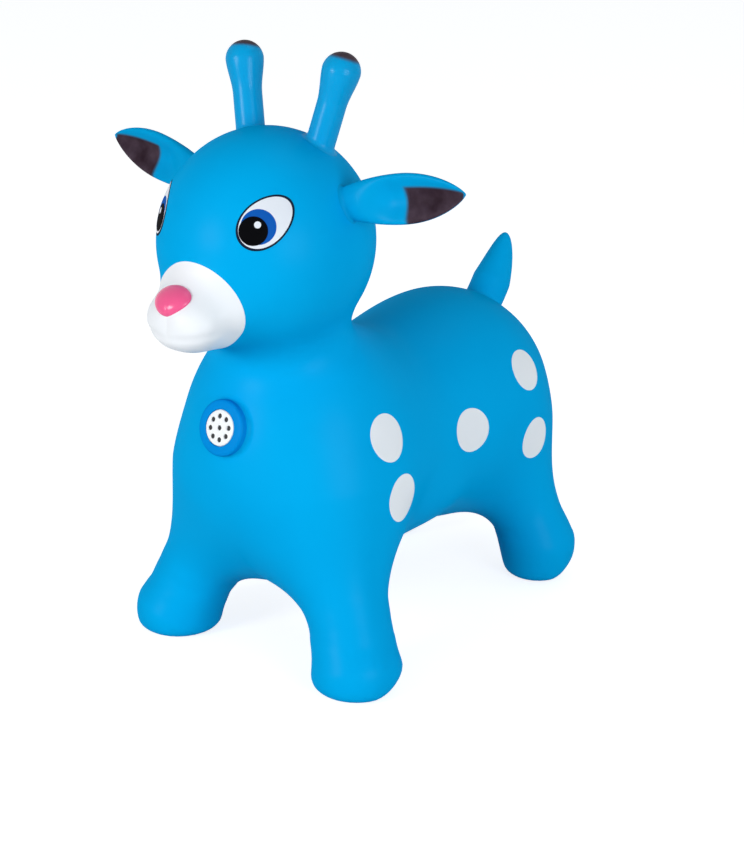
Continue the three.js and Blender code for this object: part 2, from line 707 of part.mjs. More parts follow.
// Music box stack, front to back along the box's own Z
const musicPoint = surfacePoint(trunkFront.clone().add(vector(0, 0, MUSIC_HEIGHT)), vector(0, -1, 0));
const musicPlace = placeAt(musicPoint, formNormal(musicPoint));
const bezelSeat = COLLAR_RISE + FIT_GAP;
const bezelFront = bezelSeat + BEZEL_HEIGHT;
const lipBack = bezelFront - BEZEL_LIP;
const buttonFlangeTop = lipBack - FIT_GAP;
const buttonFlangeBottom = buttonFlangeTop - BUTTON_FLANGE_THICKNESS;
const buttonFlangeRadius = GRILLE_RADIUS + BUTTON_FLANGE;
const bezelBore = buttonFlangeRadius + FIT_GAP;
const barrelRadius = bezelBore + BEZEL_WALL;
const bezelRadius = barrelRadius + BEZEL_OVERHANG;
const pegCircle = buttonFlangeRadius - PUSH_PEG_EDGE - PUSH_PEG_RADIUS;
const speakerRadius = pegCircle - PUSH_PEG_RADIUS - PUSH_PEG_CLEARANCE;
const basketRadius = speakerRadius - SPEAKER_FLANGE_WIDTH;
const leadCircle = (basketRadius + MAGNET_RADIUS) / 2;
const chipOffset = MAGNET_RADIUS + CHIP_RADIUS + CHIP_CLEARANCE;
const cellCircle = (CELL_RADIUS + FIT_GAP + CELL_WALL / 2) / Math.sin(Math.PI / CELL_COUNT);
const coneRimTop = buttonFlangeBottom - BUTTON_TRAVEL - FIT_GAP;
const speakerTop = coneRimTop - CONE_THICKNESS - FIT_GAP;
const shelfTop = speakerTop - SPEAKER_FLANGE - FIT_GAP;
const shelfBottom = shelfTop - SPEAKER_SHELF;
const basketBottom = speakerTop - SPEAKER_DEPTH;
const magnetTop = basketBottom - FIT_GAP;
const magnetBottom = magnetTop - MAGNET_HEIGHT;
const boardTop = magnetBottom - BOARD_CLEARANCE;
const boardBottom = boardTop - BOARD_THICKNESS;
const onBoard = boardTop + FIT_GAP;
const spigotEnd = boardTop + FIT_GAP;
const barrelEnd = spigotEnd + SPIGOT_LENGTH;
const caseTop = barrelEnd - FIT_GAP;
const spigotRadius = bezelBore + SPIGOT_WALL;
const caseBore = spigotRadius + FIT_GAP;
const ledgeTop = boardBottom - FIT_GAP;
const ledgeBore = caseBore - CASE_LEDGE;
const switchTop = onBoard + SWITCH_HEIGHT;
const plungerTop = switchTop + PLUNGER_PROUD;
const plungerHole = BUTTON_TRAVEL + 2 * FIT_GAP;
const frontContactTop = boardBottom - BOARD_TO_CONTACT;
const frontContactBottom = frontContactTop - CONTACT_THICKNESS;
const trayTop = frontContactBottom - FIT_GAP;
const cellBottom = trayTop - CELL_HEIGHT;
const rearContactTop = cellBottom - FIT_GAP;
const rearContactBottom = rearContactTop - CONTACT_THICKNESS;
const trayBottom = rearContactBottom;
const floorTop = trayBottom - FIT_GAP;
const floorBottom = floorTop - CASE_FLOOR;
const pocketBottom = floorBottom - POCKET_CLEARANCE;
const pocketRadius = barrelRadius + FIT_GAP;
const rearTabX = -REAR_CONTACT_RADIUS + CONTACT_THICKNESS / 2;
const screwAngle = Math.PI / CELL_COUNT;
const screwX = SCREW_CIRCLE * Math.cos(screwAngle);
const screwY = SCREW_CIRCLE * Math.sin(screwAngle);
const screwHeadTop = floorBottom + FIT_GAP / 2;
const screwHeadBase = screwHeadTop + SCREW_HEAD_HEIGHT;

function pocketSeat() {
  const collar = disc(bezelRadius + COLLAR_WIDTH, pocketBottom / 2, COLLAR_RISE);
  const backing = disc(pocketRadius + POCKET_WALL, pocketBottom - POCKET_WALL, COLLAR_RISE);
  return {
    collar: placed(collar, musicPlace),
    backing: placed(backing, musicPlace),
    hollow: placed(disc(pocketRadius, pocketBottom, bezelFront), musicPlace),
  };
}

function bezelSolid() {
  const openingRadius = GRILLE_RADIUS + FIT_GAP;
  const rimRadius = openingRadius + SPIGOT_WALL;
  const dome = [];
  for (let i = 0; i <= DOME_STEPS; i += 1) {
    const angle = (Math.PI / 2) * (i / DOME_STEPS);
    dome.push([
      rimRadius + (bezelRadius - rimRadius) * Math.cos(angle),
      bezelSeat + BEZEL_EDGE + (BEZEL_HEIGHT - BEZEL_EDGE) * Math.sin(angle),
    ]);
  }
  const body = lathe([
    [spigotRadius, spigotEnd],
    [spigotRadius, barrelEnd],
    [barrelRadius, barrelEnd],
    [barrelRadius, bezelSeat],
    [bezelRadius, bezelSeat],
    ...dome,
    [openingRadius, bezelFront],
    [openingRadius, lipBack],
    [bezelBore, lipBack],
    [bezelBore, shelfTop],
    [basketRadius + FIT_GAP, shelfTop],
    [basketRadius + FIT_GAP, shelfBottom],
    [bezelBore, shelfBottom],
    [bezelBore, spigotEnd],
  ]);
  return body.subtract(discAt(PUSH_PEG_RADIUS + SOCKET_GAP, spigotEnd, lipBack, pegCircle, 0));
}

function buttonSolid() {
  const capTop = bezelFront - GRILLE_INSET;
  let button = lathe([
    [0, buttonFlangeTop],
    [GRILLE_RADIUS - BUTTON_FLANGE, buttonFlangeTop],
    [GRILLE_RADIUS - BUTTON_FLANGE, buttonFlangeBottom],
    [buttonFlangeRadius, buttonFlangeBottom],
    [buttonFlangeRadius, buttonFlangeTop],
    [GRILLE_RADIUS, buttonFlangeTop],
    [GRILLE_RADIUS, capTop - FIT_GAP],
    [GRILLE_RADIUS - FIT_GAP, capTop],
    [0, capTop],
  ]);
  button = button.add(discAt(PUSH_PEG_RADIUS, plungerTop + FIT_GAP, buttonFlangeTop, pegCircle, 0));
  button = button.subtract(discAt(GRILLE_HOLE_RADIUS, buttonFlangeBottom, bezelFront, 0, 0, HOLE_SIDES));
  for (let i = 0; i < GRILLE_HOLES; i += 1) {
    const angle = (2 * Math.PI * i) / GRILLE_HOLES;
    const x = GRILLE_HOLE_CIRCLE * Math.cos(angle);
    const y = GRILLE_HOLE_CIRCLE * Math.sin(angle);
    button = button.subtract(discAt(GRILLE_HOLE_RADIUS, buttonFlangeBottom, bezelFront, x, y, HOLE_SIDES));
  }
  return button;
}

function speakerFrameSolid() {
  const basketInside = basketRadius - SPEAKER_SHEET;
  return lathe([
    [0, basketBottom],
    [basketRadius, basketBottom],
    [basketRadius, speakerTop - SPEAKER_FLANGE],
    [speakerRadius, speakerTop - SPEAKER_FLANGE],
    [speakerRadius, speakerTop],
    [basketInside, speakerTop],
    [basketInside, basketBottom + SPEAKER_SHEET],
    [0, basketBottom + SPEAKER_SHEET],
  ], ROUND_SIDES);
}

function speakerConeSolid() {
  const rimRadius = speakerRadius - SPEAKER_SHEET;
  const coneRadius = basketRadius - 2 * SPEAKER_SHEET;
  const top = [
    [rimRadius, coneRimTop],
    [coneRadius, coneRimTop],
    [CONE_COIL_RADIUS, coneRimTop - CONE_DEPTH],
    [0, coneRimTop - CONE_DEPTH / 2],
  ];
  const bottom = top.map(([radius, height]) => [radius, height - CONE_THICKNESS]).reverse();
  return lathe([...top, ...bottom], ROUND_SIDES);
}

function switchSolid() {
  const body = boxSolid([SWITCH_WIDTH, SWITCH_WIDTH, SWITCH_HEIGHT],
    [pegCircle, 0, onBoard + SWITCH_HEIGHT / 2]);
  const holeRadius = PLUNGER_RADIUS + FIT_GAP;
  return body.subtract(discAt(holeRadius, switchTop - FIT_GAP - plungerHole, plungerTop, pegCircle, 0));
}

function chipSolid() {
  const quarter = arc(1, 0, 0, 90, DOME_STEPS);
  const dome = quarter.map(([radius, height]) => [radius * CHIP_RADIUS, onBoard + height * CHIP_HEIGHT]);
  return lathe([...dome, [0, onBoard]], ROUND_SIDES).translate([-chipOffset, 0, 0]);
}

function leadSolid(side) {
  const start = basketBottom - FIT_GAP;
  const path = new THREE.QuadraticBezierCurve3(
    vector(0, side * leadCircle, start),
    vector(0, side * (leadCircle + 2 * LEAD_BOW), (start + onBoard) / 2),
    vector(0, side * leadCircle, onBoard + LEAD_RADIUS),
  );
  const section = new THREE.Shape().absarc(0, 0, LEAD_RADIUS, 0, 2 * Math.PI);
  return solidOf(new THREE.ExtrudeGeometry(section, { steps: 6, curveSegments: 4, extrudePath: path }));
}

// Places of the battery cells round the box's axis
const cellPlaces = Array.from({ length: CELL_COUNT }, (_, i) => {
  const angle = (2 * Math.PI * i) / CELL_COUNT;
  return [cellCircle * Math.cos(angle), cellCircle * Math.sin(angle)];
});

function screwHole(radius, low, high, sides = ROUND_SIDES) {
  return discAt(radius + FIT_GAP, low - CUT_MARGIN, high, screwX, screwY, sides);
}

function traySolid() {
  const cellHole = CELL_RADIUS + FIT_GAP;
  let tray = disc(ledgeBore - FIT_GAP, trayBottom, trayTop);
  tray = tray.subtract(disc(REAR_CONTACT_RADIUS + FIT_GAP, trayBottom - CUT_MARGIN, cellBottom));
  for (const [x, y] of cellPlaces) {
    tray = tray.subtract(discAt(cellHole, trayBottom - CUT_MARGIN, trayTop + CUT_MARGIN, x, y));
  }
  const slotSize = [CONTACT_THICKNESS + 2 * FIT_GAP, CONTACT_TAB_WIDTH + 2 * FIT_GAP, 2 * CELL_HEIGHT];
  tray = tray.subtract(boxSolid(slotSize, [rearTabX, 0, trayTop]));
  const holeTop = screwHeadBase + SCREW_LENGTH + FIT_GAP;
  return tray.subtract(screwHole(SCREW_RADIUS, trayBottom, holeTop, HOLE_SIDES));
}

function cellSolid([x, y]) {
  const edge = FIT_GAP;
  const terminal = CELL_RADIUS - 2 * edge;
  return lathe([
    [0, cellBottom],
    [CELL_RADIUS, cellBottom],
    [CELL_RADIUS, trayTop - edge],
    [terminal, trayTop - edge],
    [terminal, trayTop],
    [0, trayTop],
  ], ROUND_SIDES).translate([x, y, 0]);
}

// Contact plate with a tab that reaches the underside of the board
function contactSolid(radius, low, tabX) {
  const tabTop = boardBottom - FIT_GAP;
  const tabSize = [CONTACT_THICKNESS, CONTACT_TAB_WIDTH, tabTop - low];
  const tab = boxSolid(tabSize, [tabX, 0, (tabTop + low) / 2]);
  return disc(radius, low, low + CONTACT_THICKNESS, ROUND_SIDES).add(tab);
}

function caseSolid() {
  return lathe([
    [DOOR_RADIUS + FIT_GAP, floorBottom],
    [barrelRadius, floorBottom],
    [barrelRadius, caseTop],
    [caseBore, caseTop],
    [caseBore, ledgeTop],
    [ledgeBore, ledgeTop],
    [ledgeBore, floorTop],
    [DOOR_RADIUS + FIT_GAP, floorTop],
  ]);
}

function doorSolid() {
  const countersink = screwHole(SCREW_HEAD_RADIUS, floorBottom, screwHeadBase + FIT_GAP);
  const hole = screwHole(SCREW_RADIUS, floorBottom, floorTop + CUT_MARGIN, HOLE_SIDES);
  return disc(DOOR_RADIUS, floorBottom, floorTop).subtract(countersink).subtract(hole);
}

function screwSolid() {
  const shank = disc(SCREW_RADIUS, screwHeadTop, screwHeadBase + SCREW_LENGTH, HOLE_SIDES);
  const slotDepth = SCREW_HEAD_HEIGHT / 2;
  const slotLength = 2 * SCREW_HEAD_RADIUS + CUT_MARGIN;
  const slotPlace = [0, 0, screwHeadTop];
  const slotAlong = boxSolid([slotLength, SCREW_SLOT_WIDTH, 2 * slotDepth], slotPlace);
  const slotAcross = boxSolid([SCREW_SLOT_WIDTH, slotLength, 2 * slotDepth], slotPlace);
  const slot = slotAlong.add(slotAcross);
  const head = disc(SCREW_HEAD_RADIUS, screwHeadTop, screwHeadBase, ROUND_SIDES);
  return head.add(shank).subtract(slot).translate([screwX, screwY, 0]);
}

function musicBox() {
  const box = new THREE.Group();
  const plunger = discAt(PLUNGER_RADIUS, switchTop - FIT_GAP, plungerTop, pegCircle, 0);
  const frontContact = contactSolid(FRONT_CONTACT_RADIUS, frontContactBottom, CONTACT_TAB_WIDTH);
  const rearContact = contactSolid(REAR_CONTACT_RADIUS, rearContactBottom, rearTabX);
  box.add(
    piece('music_bezel', bezelSolid(), BEZEL_PLASTIC),
    piece('music_button', buttonSolid(), WHITE_PLASTIC),
    piece('speaker_frame', speakerFrameSolid(), STEEL),
    piece('speaker_cone', speakerConeSolid(), PAPER_CONE),
    piece('speaker_magnet', disc(MAGNET_RADIUS, magnetBottom, magnetTop, ROUND_SIDES), STEEL),
    piece('circuit_board', disc(spigotRadius, boardBottom, boardTop), BOARD_GREEN),
    piece('melody_chip', chipSolid(), BLACK_PLASTIC),
    piece('press_switch', switchSolid(), BLACK_PLASTIC),
    piece('switch_plunger', plunger, WHITE_PLASTIC),
    piece('speaker_lead_left', leadSolid(1), RED_LEAD),
    piece('speaker_lead_right', leadSolid(-1), BLACK_PLASTIC),
    piece('battery_tray', traySolid(), BLACK_PLASTIC),
    piece('battery_contact_front', frontContact, STEEL),
    piece('battery_contact_rear', rearContact, STEEL),
    piece('rear_case', caseSolid(), BLACK_PLASTIC),
    piece('battery_door', doorSolid(), BLACK_PLASTIC),
    piece('door_screw', screwSolid(), STEEL),
  );
  for (const [i, place] of cellPlaces.entries()) {
    box.add(piece(`battery_cell_${i + 1}`, cellSolid(place), STEEL));
  }
  return put(box, musicPlace);
}

// Skin: outer form, hollowed, with the seats of what it carries
function noseSolid() {
  const angle = radians(NOSE_ANGLE);
  const point = surfacePoint(muzzle.centre, vector(0, -Math.cos(angle), Math.sin(angle)));
  const bump = new THREE.SphereGeometry(1, ROUND_SIDES, BACKING_SIDES);
  bump.scale(NOSE_WIDTH / 2, NOSE_LENGTH / 2, NOSE_HEIGHT / 2);
  return solidOf(bump.translate(...point));
}

function skinSolid() {
  const sides = [1, -1];
  const seats = [
    ...sides.map((side) => ballSeat(hornRootBall, HORN_AIRWAY, hornPlace(side))),
    ...sides.map((side) => earSeat(earPlace(side))),
    ballSeat(tailRootBall, TAIL_AIRWAY, tailPlace()),
    valveSeat(),
    pocketSeat(),
  ];
  const reach = 4 * TRUNK_AXIS_HEIGHT;
  const underFloor = boxSolid([reach, reach, reach], [0, 0, -reach / 2]);
  let outer = surfaceMesh(formDistance, SKIN_CELL).subtract(underFloor).add(noseSolid());
  const cavityDistance = (point) => Math.max(formDistance(point) + SKIN_WALL, SOLE_WALL - point.z);
  let cavity = surfaceMesh(cavityDistance, CAVITY_CELL);
  for (const { backing, collar } of seats) {
    cavity = cavity.subtract(backing);
    if (collar) outer = outer.add(collar);
  }
  let skin = outer.subtract(cavity);
  for (const { hollow } of seats) skin = skin.subtract(hollow);
  return skin;
}

const hopper = new THREE.Group();
hopper.add(
  piece('skin', skinSolid(), SKIN_VINYL),
  put(piece('horn_left', hornSolid(), SKIN_VINYL), hornPlace(1)),
  put(piece('horn_right', hornSolid(), SKIN_VINYL), hornPlace(-1)),
  put(piece('ear_left', earSolid(), SKIN_VINYL), earPlace(1)),
  put(piece('ear_right', earSolid(), SKIN_VINYL), earPlace(-1)),
  put(piece('tail', tailSolid(), SKIN_VINYL), tailPlace()),
  put(piece('air_plug', plugSolid(), CLEAR_PLUG), valvePlace),
  musicBox(),
);

export default hopper;
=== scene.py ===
# Inflatable hopper animal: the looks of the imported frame.
# Lengths are millimetres until a mesh is made. Heights are from the floor, and the animal faces -Y.
import json
import math
import bpy
import numpy as np
from mathutils import Matrix


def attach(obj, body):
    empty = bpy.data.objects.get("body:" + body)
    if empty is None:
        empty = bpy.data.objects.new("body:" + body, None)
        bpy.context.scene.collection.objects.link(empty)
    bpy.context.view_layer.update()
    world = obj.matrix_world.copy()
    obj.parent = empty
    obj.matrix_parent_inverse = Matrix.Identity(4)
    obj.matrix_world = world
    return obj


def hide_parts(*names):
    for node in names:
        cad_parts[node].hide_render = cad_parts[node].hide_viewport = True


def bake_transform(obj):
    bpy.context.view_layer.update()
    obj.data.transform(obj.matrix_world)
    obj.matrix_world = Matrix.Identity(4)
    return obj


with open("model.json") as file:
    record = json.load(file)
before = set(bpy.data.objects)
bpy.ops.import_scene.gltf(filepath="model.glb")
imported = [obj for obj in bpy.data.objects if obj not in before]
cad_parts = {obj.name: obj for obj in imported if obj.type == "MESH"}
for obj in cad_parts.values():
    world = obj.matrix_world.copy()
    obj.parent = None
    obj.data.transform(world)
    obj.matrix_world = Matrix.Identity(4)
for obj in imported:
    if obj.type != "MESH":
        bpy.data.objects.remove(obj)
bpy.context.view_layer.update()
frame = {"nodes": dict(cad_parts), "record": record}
MM = 0.001
TAU = 2 * math.pi

# Moulded form: the solids' swellings, with a slimmer muzzle, a chin, lips and fuller lower flanks
TRUNK_FRONT = (0, -62, 163)
TRUNK_REAR = (0, 123.5, 159)
TRUNK_RADIUS = 89
RUMP_SIZE = (172.5, 189.5, 189.5)
CHEST = (0, -72.5, 178.5)
CHEST_SIZE = (185.5, 177.5, 240.5)
HEAD = (0, -108.5, 353.5)
HEAD_SIZE = (169, 177, 179.5)
MUZZLE = (0, -168, 316)
MUZZLE_SIZE = (82, 108, 53)
CHIN = (0, -187.5, 300.5)
CHIN_SIZE = (52, 72, 34)
LIP = (13, -204.5, 309)
LIP_SIZE = (38, 34, 32)
FLANK = (48, 16, 118)
FLANK_SIZE = (60, 80, 44)
FRONT_LEG = [((44, -91, 133), 52), ((85, -110.5, 47.5), 30), ((96.5, -117.5, 16), 36.5)]
REAR_LEG = [((51, 149, 129), 31.5), ((86, 159.5, 31.5), 30.5), ((86, 160.5, 16), 29.5)]
TRUNK_BLEND = 41
LEG_BLEND = 41
FLANK_BLEND = 30
ANKLE_BLEND = 12
MUZZLE_BLEND = 20
CHIN_BLEND = 8
LIP_BLEND = 10
NECK_BLEND = 36.5
NAPE_BLEND = 16
NAPE_REACH = 40
NAPE_DROP = 0.13
NAPE_FADE_AHEAD = 12
NAPE_FADE = 45

# Soles: rounded all round, and most at the outer rear, the heel
SOLE_ROUNDING = 10
HEEL_ROUNDING = 26
HEEL_DIRECTION = (0.6, 0.8)
HEEL_FADE = (0.1, 0.9)
FOOT_REGION = 70

# Hoof bands and the crease of the mouth
HOOF_HEIGHT = 42
HOOF_STEP = 0.7
HOOF_SOFTNESS = 0.9
HOOF_FADE = 6
MOUTH_DEPTH = 0.8
MOUTH_SOFTNESS = 2.6
MOUTH_HEIGHT = 300.5
MOUTH_CURVE = 0.0045
MOUTH_BACK = -196
MOUTH_FADE = 8

# White paint of the muzzle: its edge is an angle from straight ahead, seen from the paint's centre.
# The edge comes nearer with height, and dips on the animal's right.
PAINT_CENTRE = (0, -172, 314)
PAINT_EDGE = 75.2
PAINT_EDGE_RISE = 9.5
PAINT_EDGE_BEND = 7.3
PAINT_DIP = 5
PAINT_DIP_AT = 148
PAINT_DIP_WIDTH = 36
PAINT_SINK = 2
PAINT_SINK_INSIDE = 0.93
PAINT_SINK_FADE = 0.15
PAINT_REGION = 70
PAINT_LIFT = 0.18
PAINT_RIM_SINK = 0.6

# Solving: halvings of a range, and the least slope that a step along a line divides by
HALVINGS = 40
LEAST_SLOPE = 0.15


def soft_step(value, low, high):
    t = np.clip((value - low) / (high - low), 0, 1)
    return t * t * (3 - 2 * t)


def ellipsoid(points, centre, size):
    radii = np.array(size) / 2
    offset = (points - np.array(centre)) / radii
    reach = np.linalg.norm(offset, axis=-1)
    steep = np.maximum(np.linalg.norm(offset / radii, axis=-1), 1e-9)
    return reach * (reach - 1) / steep


def taper(points, start, end):
    (start_centre, start_radius), (end_centre, end_radius) = start, end
    origin = np.array(start_centre, float)
    axis = np.array(end_centre, float) - origin
    share = np.clip((points - origin) @ axis / (axis @ axis), 0, 1)
    nearest = origin + share[..., None] * axis
    radius = start_radius + (end_radius - start_radius) * share
    return np.linalg.norm(points - nearest, axis=-1) - radius


def melt(a, b, width):
    overlap = np.maximum(width - np.abs(a - b), 0) / width
    return np.minimum(a, b) - overlap * overlap * width / 4


def leg(points, balls):
    top, ankle, foot = balls
    return melt(taper(points, top, ankle), taper(points, ankle, foot), ANKLE_BLEND)


def form(place):
    points = np.array(place, float)
    points[..., 0] = np.abs(points[..., 0])
    trunk = taper(points, (TRUNK_FRONT, TRUNK_RADIUS), (TRUNK_REAR, TRUNK_RADIUS))
    body = melt(trunk, ellipsoid(points, TRUNK_REAR, RUMP_SIZE), TRUNK_BLEND)
    low_nape = np.clip((points[..., 1] - CHEST[1]) / NAPE_REACH, 0, 1) * NAPE_DROP
    stretched = points.copy()
    stretched[..., 2] += np.maximum(points[..., 2] - CHEST[2], 0) * low_nape
    body = melt(body, ellipsoid(stretched, CHEST, CHEST_SIZE), TRUNK_BLEND)
    body = melt(body, leg(points, FRONT_LEG), LEG_BLEND)
    body = melt(body, leg(points, REAR_LEG), LEG_BLEND)
    body = melt(body, ellipsoid(points, FLANK, FLANK_SIZE), FLANK_BLEND)
    face = ellipsoid(points, MUZZLE, MUZZLE_SIZE)
    face = melt(face, ellipsoid(points, CHIN, CHIN_SIZE), CHIN_BLEND)
    face = melt(face, ellipsoid(points, LIP, LIP_SIZE), LIP_BLEND)
    skull = melt(ellipsoid(points, HEAD, HEAD_SIZE), face, MUZZLE_BLEND)
    nape = np.clip((points[..., 1] - CHEST[1] + NAPE_FADE_AHEAD) / NAPE_FADE, 0, 1)
    return melt(body, skull, NECK_BLEND + (NAPE_BLEND - NECK_BLEND) * nape)


# Share of the outer rear of a foot, where its sole is rounded most
def heel_share(points):
    share = 0
    for centre, radius in (FRONT_LEG[2], REAR_LEG[2]):
        outward = np.abs(points[..., 0]) - centre[0]
        behind = points[..., 1] - centre[1]
        reach = (outward * HEEL_DIRECTION[0] + behind * HEEL_DIRECTION[1]) / radius
        share = share + soft_step(reach, *HEEL_FADE) * (np.abs(behind) < FOOT_REGION)
    return share


# Form with rounded soles, hoof bands and the mouth's crease
def skin_field(points):
    rounding = SOLE_ROUNDING + (HEEL_ROUNDING - SOLE_ROUNDING) * heel_share(points)
    distance = -melt(-form(points), points[..., 2], rounding)
    x, y, z = points[..., 0], points[..., 1], points[..., 2]
    hoof = 1 / (1 + np.exp(np.clip((z - HOOF_HEIGHT) / HOOF_SOFTNESS, -40, 40)))
    distance = distance - HOOF_STEP * hoof * np.clip(z / HOOF_FADE, 0, 1)
    line = MOUTH_HEIGHT + MOUTH_CURVE * x * x
    ahead = np.clip((MOUTH_BACK - y) / MOUTH_FADE, 0, 1)
    crease = np.exp(-((z - line) / MOUTH_SOFTNESS) ** 2) * ahead
    return distance + MOUTH_DEPTH * crease


# Angle of the muzzle paint's edge from straight ahead, for a turn round the muzzle from its left side
def muzzle_edge(turn):
    rise = np.sin(turn)
    from_dip = np.degrees(turn % TAU) - PAINT_DIP_AT
    dip = PAINT_DIP * np.exp(-(from_dip / PAINT_DIP_WIDTH) ** 2)
    return np.radians(PAINT_EDGE - PAINT_EDGE_RISE * rise - PAINT_EDGE_BEND * rise ** 2 - dip)


# The skin that shows: it dips out of the way under the muzzle's paint
def bare_field(points):
    offset = points - np.array(PAINT_CENTRE)
    away = np.arctan2(np.hypot(offset[..., 0], offset[..., 2]), -offset[..., 1])
    edge = muzzle_edge(np.arctan2(offset[..., 2], offset[..., 0]))
    near = np.linalg.norm(offset, axis=-1) < PAINT_REGION
    under_paint = np.clip((PAINT_SINK_INSIDE - away / edge) / PAINT_SINK_FADE, 0, 1)
    return skin_field(points) + PAINT_SINK * under_paint * near


def gradient(field, points, step=0.05):
    slope = np.zeros_like(points)
    for axis in range(3):
        shift = np.zeros(3)
        shift[axis] = step
        slope[..., axis] = (field(points + shift) - field(points - shift)) / (2 * step)
    return slope


def normals_of(field, points):
    slope = gradient(field, points)
    return slope / np.linalg.norm(slope, axis=-1, keepdims=True)


def settle(field, points, passes=5):
    for _ in range(passes):
        slope = gradient(field, points)
        steep = np.maximum((slope * slope).sum(-1), 1e-6)
        points = points - slope * (field(points) / steep)[..., None]
    return points


def settle_along(field, points, direction, passes=8):
    direction = np.array(direction, float)
    for _ in range(passes):
        slope = gradient(field, points) @ direction
        slope = np.where(np.abs(slope) < LEAST_SLOPE, LEAST_SLOPE, slope)
        points = points - direction * (field(points) / slope)[..., None]
    return points


# Closed mesh where the field is zero: a vertex in each crossed grid cube, a quad over each crossed edge
def surface_net(field, low, high, cell):
    counts = np.ceil((np.array(high) - np.array(low)) / cell).astype(int) + 1
    axes = [low[i] + cell * np.arange(counts[i]) for i in range(3)]
    values = np.stack([
        field(np.stack(np.meshgrid([x], axes[1], axes[2], indexing="ij"), -1))[0] for x in axes[0]
    ])
    inside = values < 0
    cubes = tuple(counts - 1)
    totals = np.zeros(cubes + (3,))
    crossings = np.zeros(cubes)
    corner = np.stack(np.meshgrid(*[axis[:-1] for axis in axes], indexing="ij"), -1)
    for axis in range(3):
        others = [i for i in range(3) if i != axis]
        for a in (0, 1):
            for b in (0, 1):
                start = [slice(0, n) for n in cubes]
                start[others[0]] = slice(a, a + cubes[others[0]])
                start[others[1]] = slice(b, b + cubes[others[1]])
                end = list(start)
                end[axis] = slice(1, 1 + cubes[axis])
                first, second = values[tuple(start)], values[tuple(end)]
                crossed = inside[tuple(start)] != inside[tuple(end)]
                share = np.where(crossed, first / np.where(crossed, first - second, 1), 0)
                place = corner.copy()
                place[..., others[0]] += a * cell
                place[..., others[1]] += b * cell
                place[..., axis] += share * cell
                totals += place * crossed[..., None]
                crossings += crossed
    used = crossings > 0
    number = np.full(cubes, -1)
    number[used] = np.arange(used.sum())
    points = totals[used] / crossings[used][:, None]
    quads = []
    for axis in range(3):
        second, third = (axis + 1) % 3, (axis + 2) % 3
        spans = [slice(1, n - 1) for n in counts]
        after = list(spans)
        after[axis] = slice(2, counts[axis])
        flips = inside[tuple(spans)] != inside[tuple(after)]
        where = np.argwhere(flips) + 1
        rising = inside[tuple(spans)][flips]
        ring = []
        for a, b in ((0, 0), (1, 0), (1, 1), (0, 1)):
            cube = where.copy()
            cube[:, second] -= a
            cube[:, third] -= b
            ring.append(number[tuple(cube.T)])
        ring = np.stack(ring, 1)
        quads.append(np.where(rising[:, None], ring, ring[:, ::-1]))
    quads = np.concatenate(quads)
    return relax(field, points, quads), quads


# Evens out a net's points and puts them back on the surface
def relax(field, points, quads, rounds=3):
    ends = np.concatenate([quads[:, [i, (i + 1) % 4]] for i in range(4)])
    count = np.bincount(ends.ravel(), minlength=len(points))[:, None]
    for _ in range(rounds):
        total = np.zeros_like(points)
        np.add.at(total, ends[:, 0], points[ends[:, 1]])
        np.add.at(total, ends[:, 1], points[ends[:, 0]])
        points = settle(field, (points + total / count) / 2, 3)
    return points


# Mesh objects
def mesh_object(name, points, faces, material):
    mesh = bpy.data.meshes.new(name)
    corners = (np.asarray(points, float) * MM).tolist()
    mesh.from_pydata(corners, [], [list(map(int, face)) for face in faces])
    mesh.validate()
    mesh.polygons.foreach_set("use_smooth", [True] * len(mesh.polygons))
    mesh.update()
    thing = bpy.data.objects.new(name, mesh)
    bpy.context.scene.collection.objects.link(thing)
    mesh.materials.append(material)
    return thing


def sharpen(thing, degrees):
    thing.data.set_sharp_from_angle(angle=math.radians(degrees))
    return thing


def paint(thing, name, values):
    layer = thing.data.attributes.new(name, "FLOAT", "POINT")
    layer.data.foreach_set("value", np.asarray(values, np.float32))


# Faces over closed rows of points, with a pole at either end where one is given
def row_faces(rows, sides, first_pole=None, last_pole=None):
    faces = []
    for row in range(rows - 1):
        for side in range(sides):
            after = (side + 1) % sides
            low, high = row * sides, (row + 1) * sides
            faces.append((low + side, low + after, high + after, high + side))
    top = (rows - 1) * sides
    for side in range(sides):
        after = (side + 1) % sides
        if first_pole is not None:
            faces.append((first_pole, after, side))
        if last_pole is not None:
            faces.append((last_pole, top + side, top + after))
    return faces


# Rows joined in a loop, the last one to the first
def loop_faces(rows, sides):
    total = rows * sides
    return [tuple(i % total for i in face) for face in row_faces(rows + 1, sides)]


# Points on a circle about a place's own Z, as the place sees them
def circle(radius, height, sides):
    angle = TAU * np.arange(sides) / sides
    return np.stack([radius * np.cos(angle), radius * np.sin(angle), np.zeros(sides) + height], -1)


# Turned shape: outline holds radius and height, and a closed one is a ring
def lathe(name, outline, where, material, sides=96, closed=False):
    points = np.concatenate([circle(radius, height, sides) for radius, height in outline])
    if closed:
        faces = loop_faces(len(outline), sides)
    else:
        points = np.vstack([points, [[0, 0, outline[0][1]], [0, 0, outline[-1][1]]]])
        faces = row_faces(len(outline), sides, len(points) - 2, len(points) - 1)
    rotation, origin = where
    return mesh_object(name, points @ rotation.T + origin, faces, material)


# Stretch of an ellipse in an outline, in degrees
def arc(centre, radii, start, end, count):
    turns = np.radians(np.linspace(start, end, count))
    return [(centre[0] + radii[0] * math.cos(a), centre[1] + radii[1] * math.sin(a)) for a in turns]


# Materials: scales of their noises, and depths of their grain in metres
NOISE_LOW = 0.3
NOISE_HIGH = 0.7
DRIFT_SCALE = 11
STREAK_SCALE = 60
GLOSS_SCALE = 70
GLOSS_DRIFT = 0.05
GRAIN_DEPTH = 0.0004
METAL_GRAIN_SCALE = 1400
METAL_GRAIN = 0.08
METAL_GRAIN_DEPTH = 0.0002
METAL_GLOSS_DRIFT = (-0.08, 0.1)


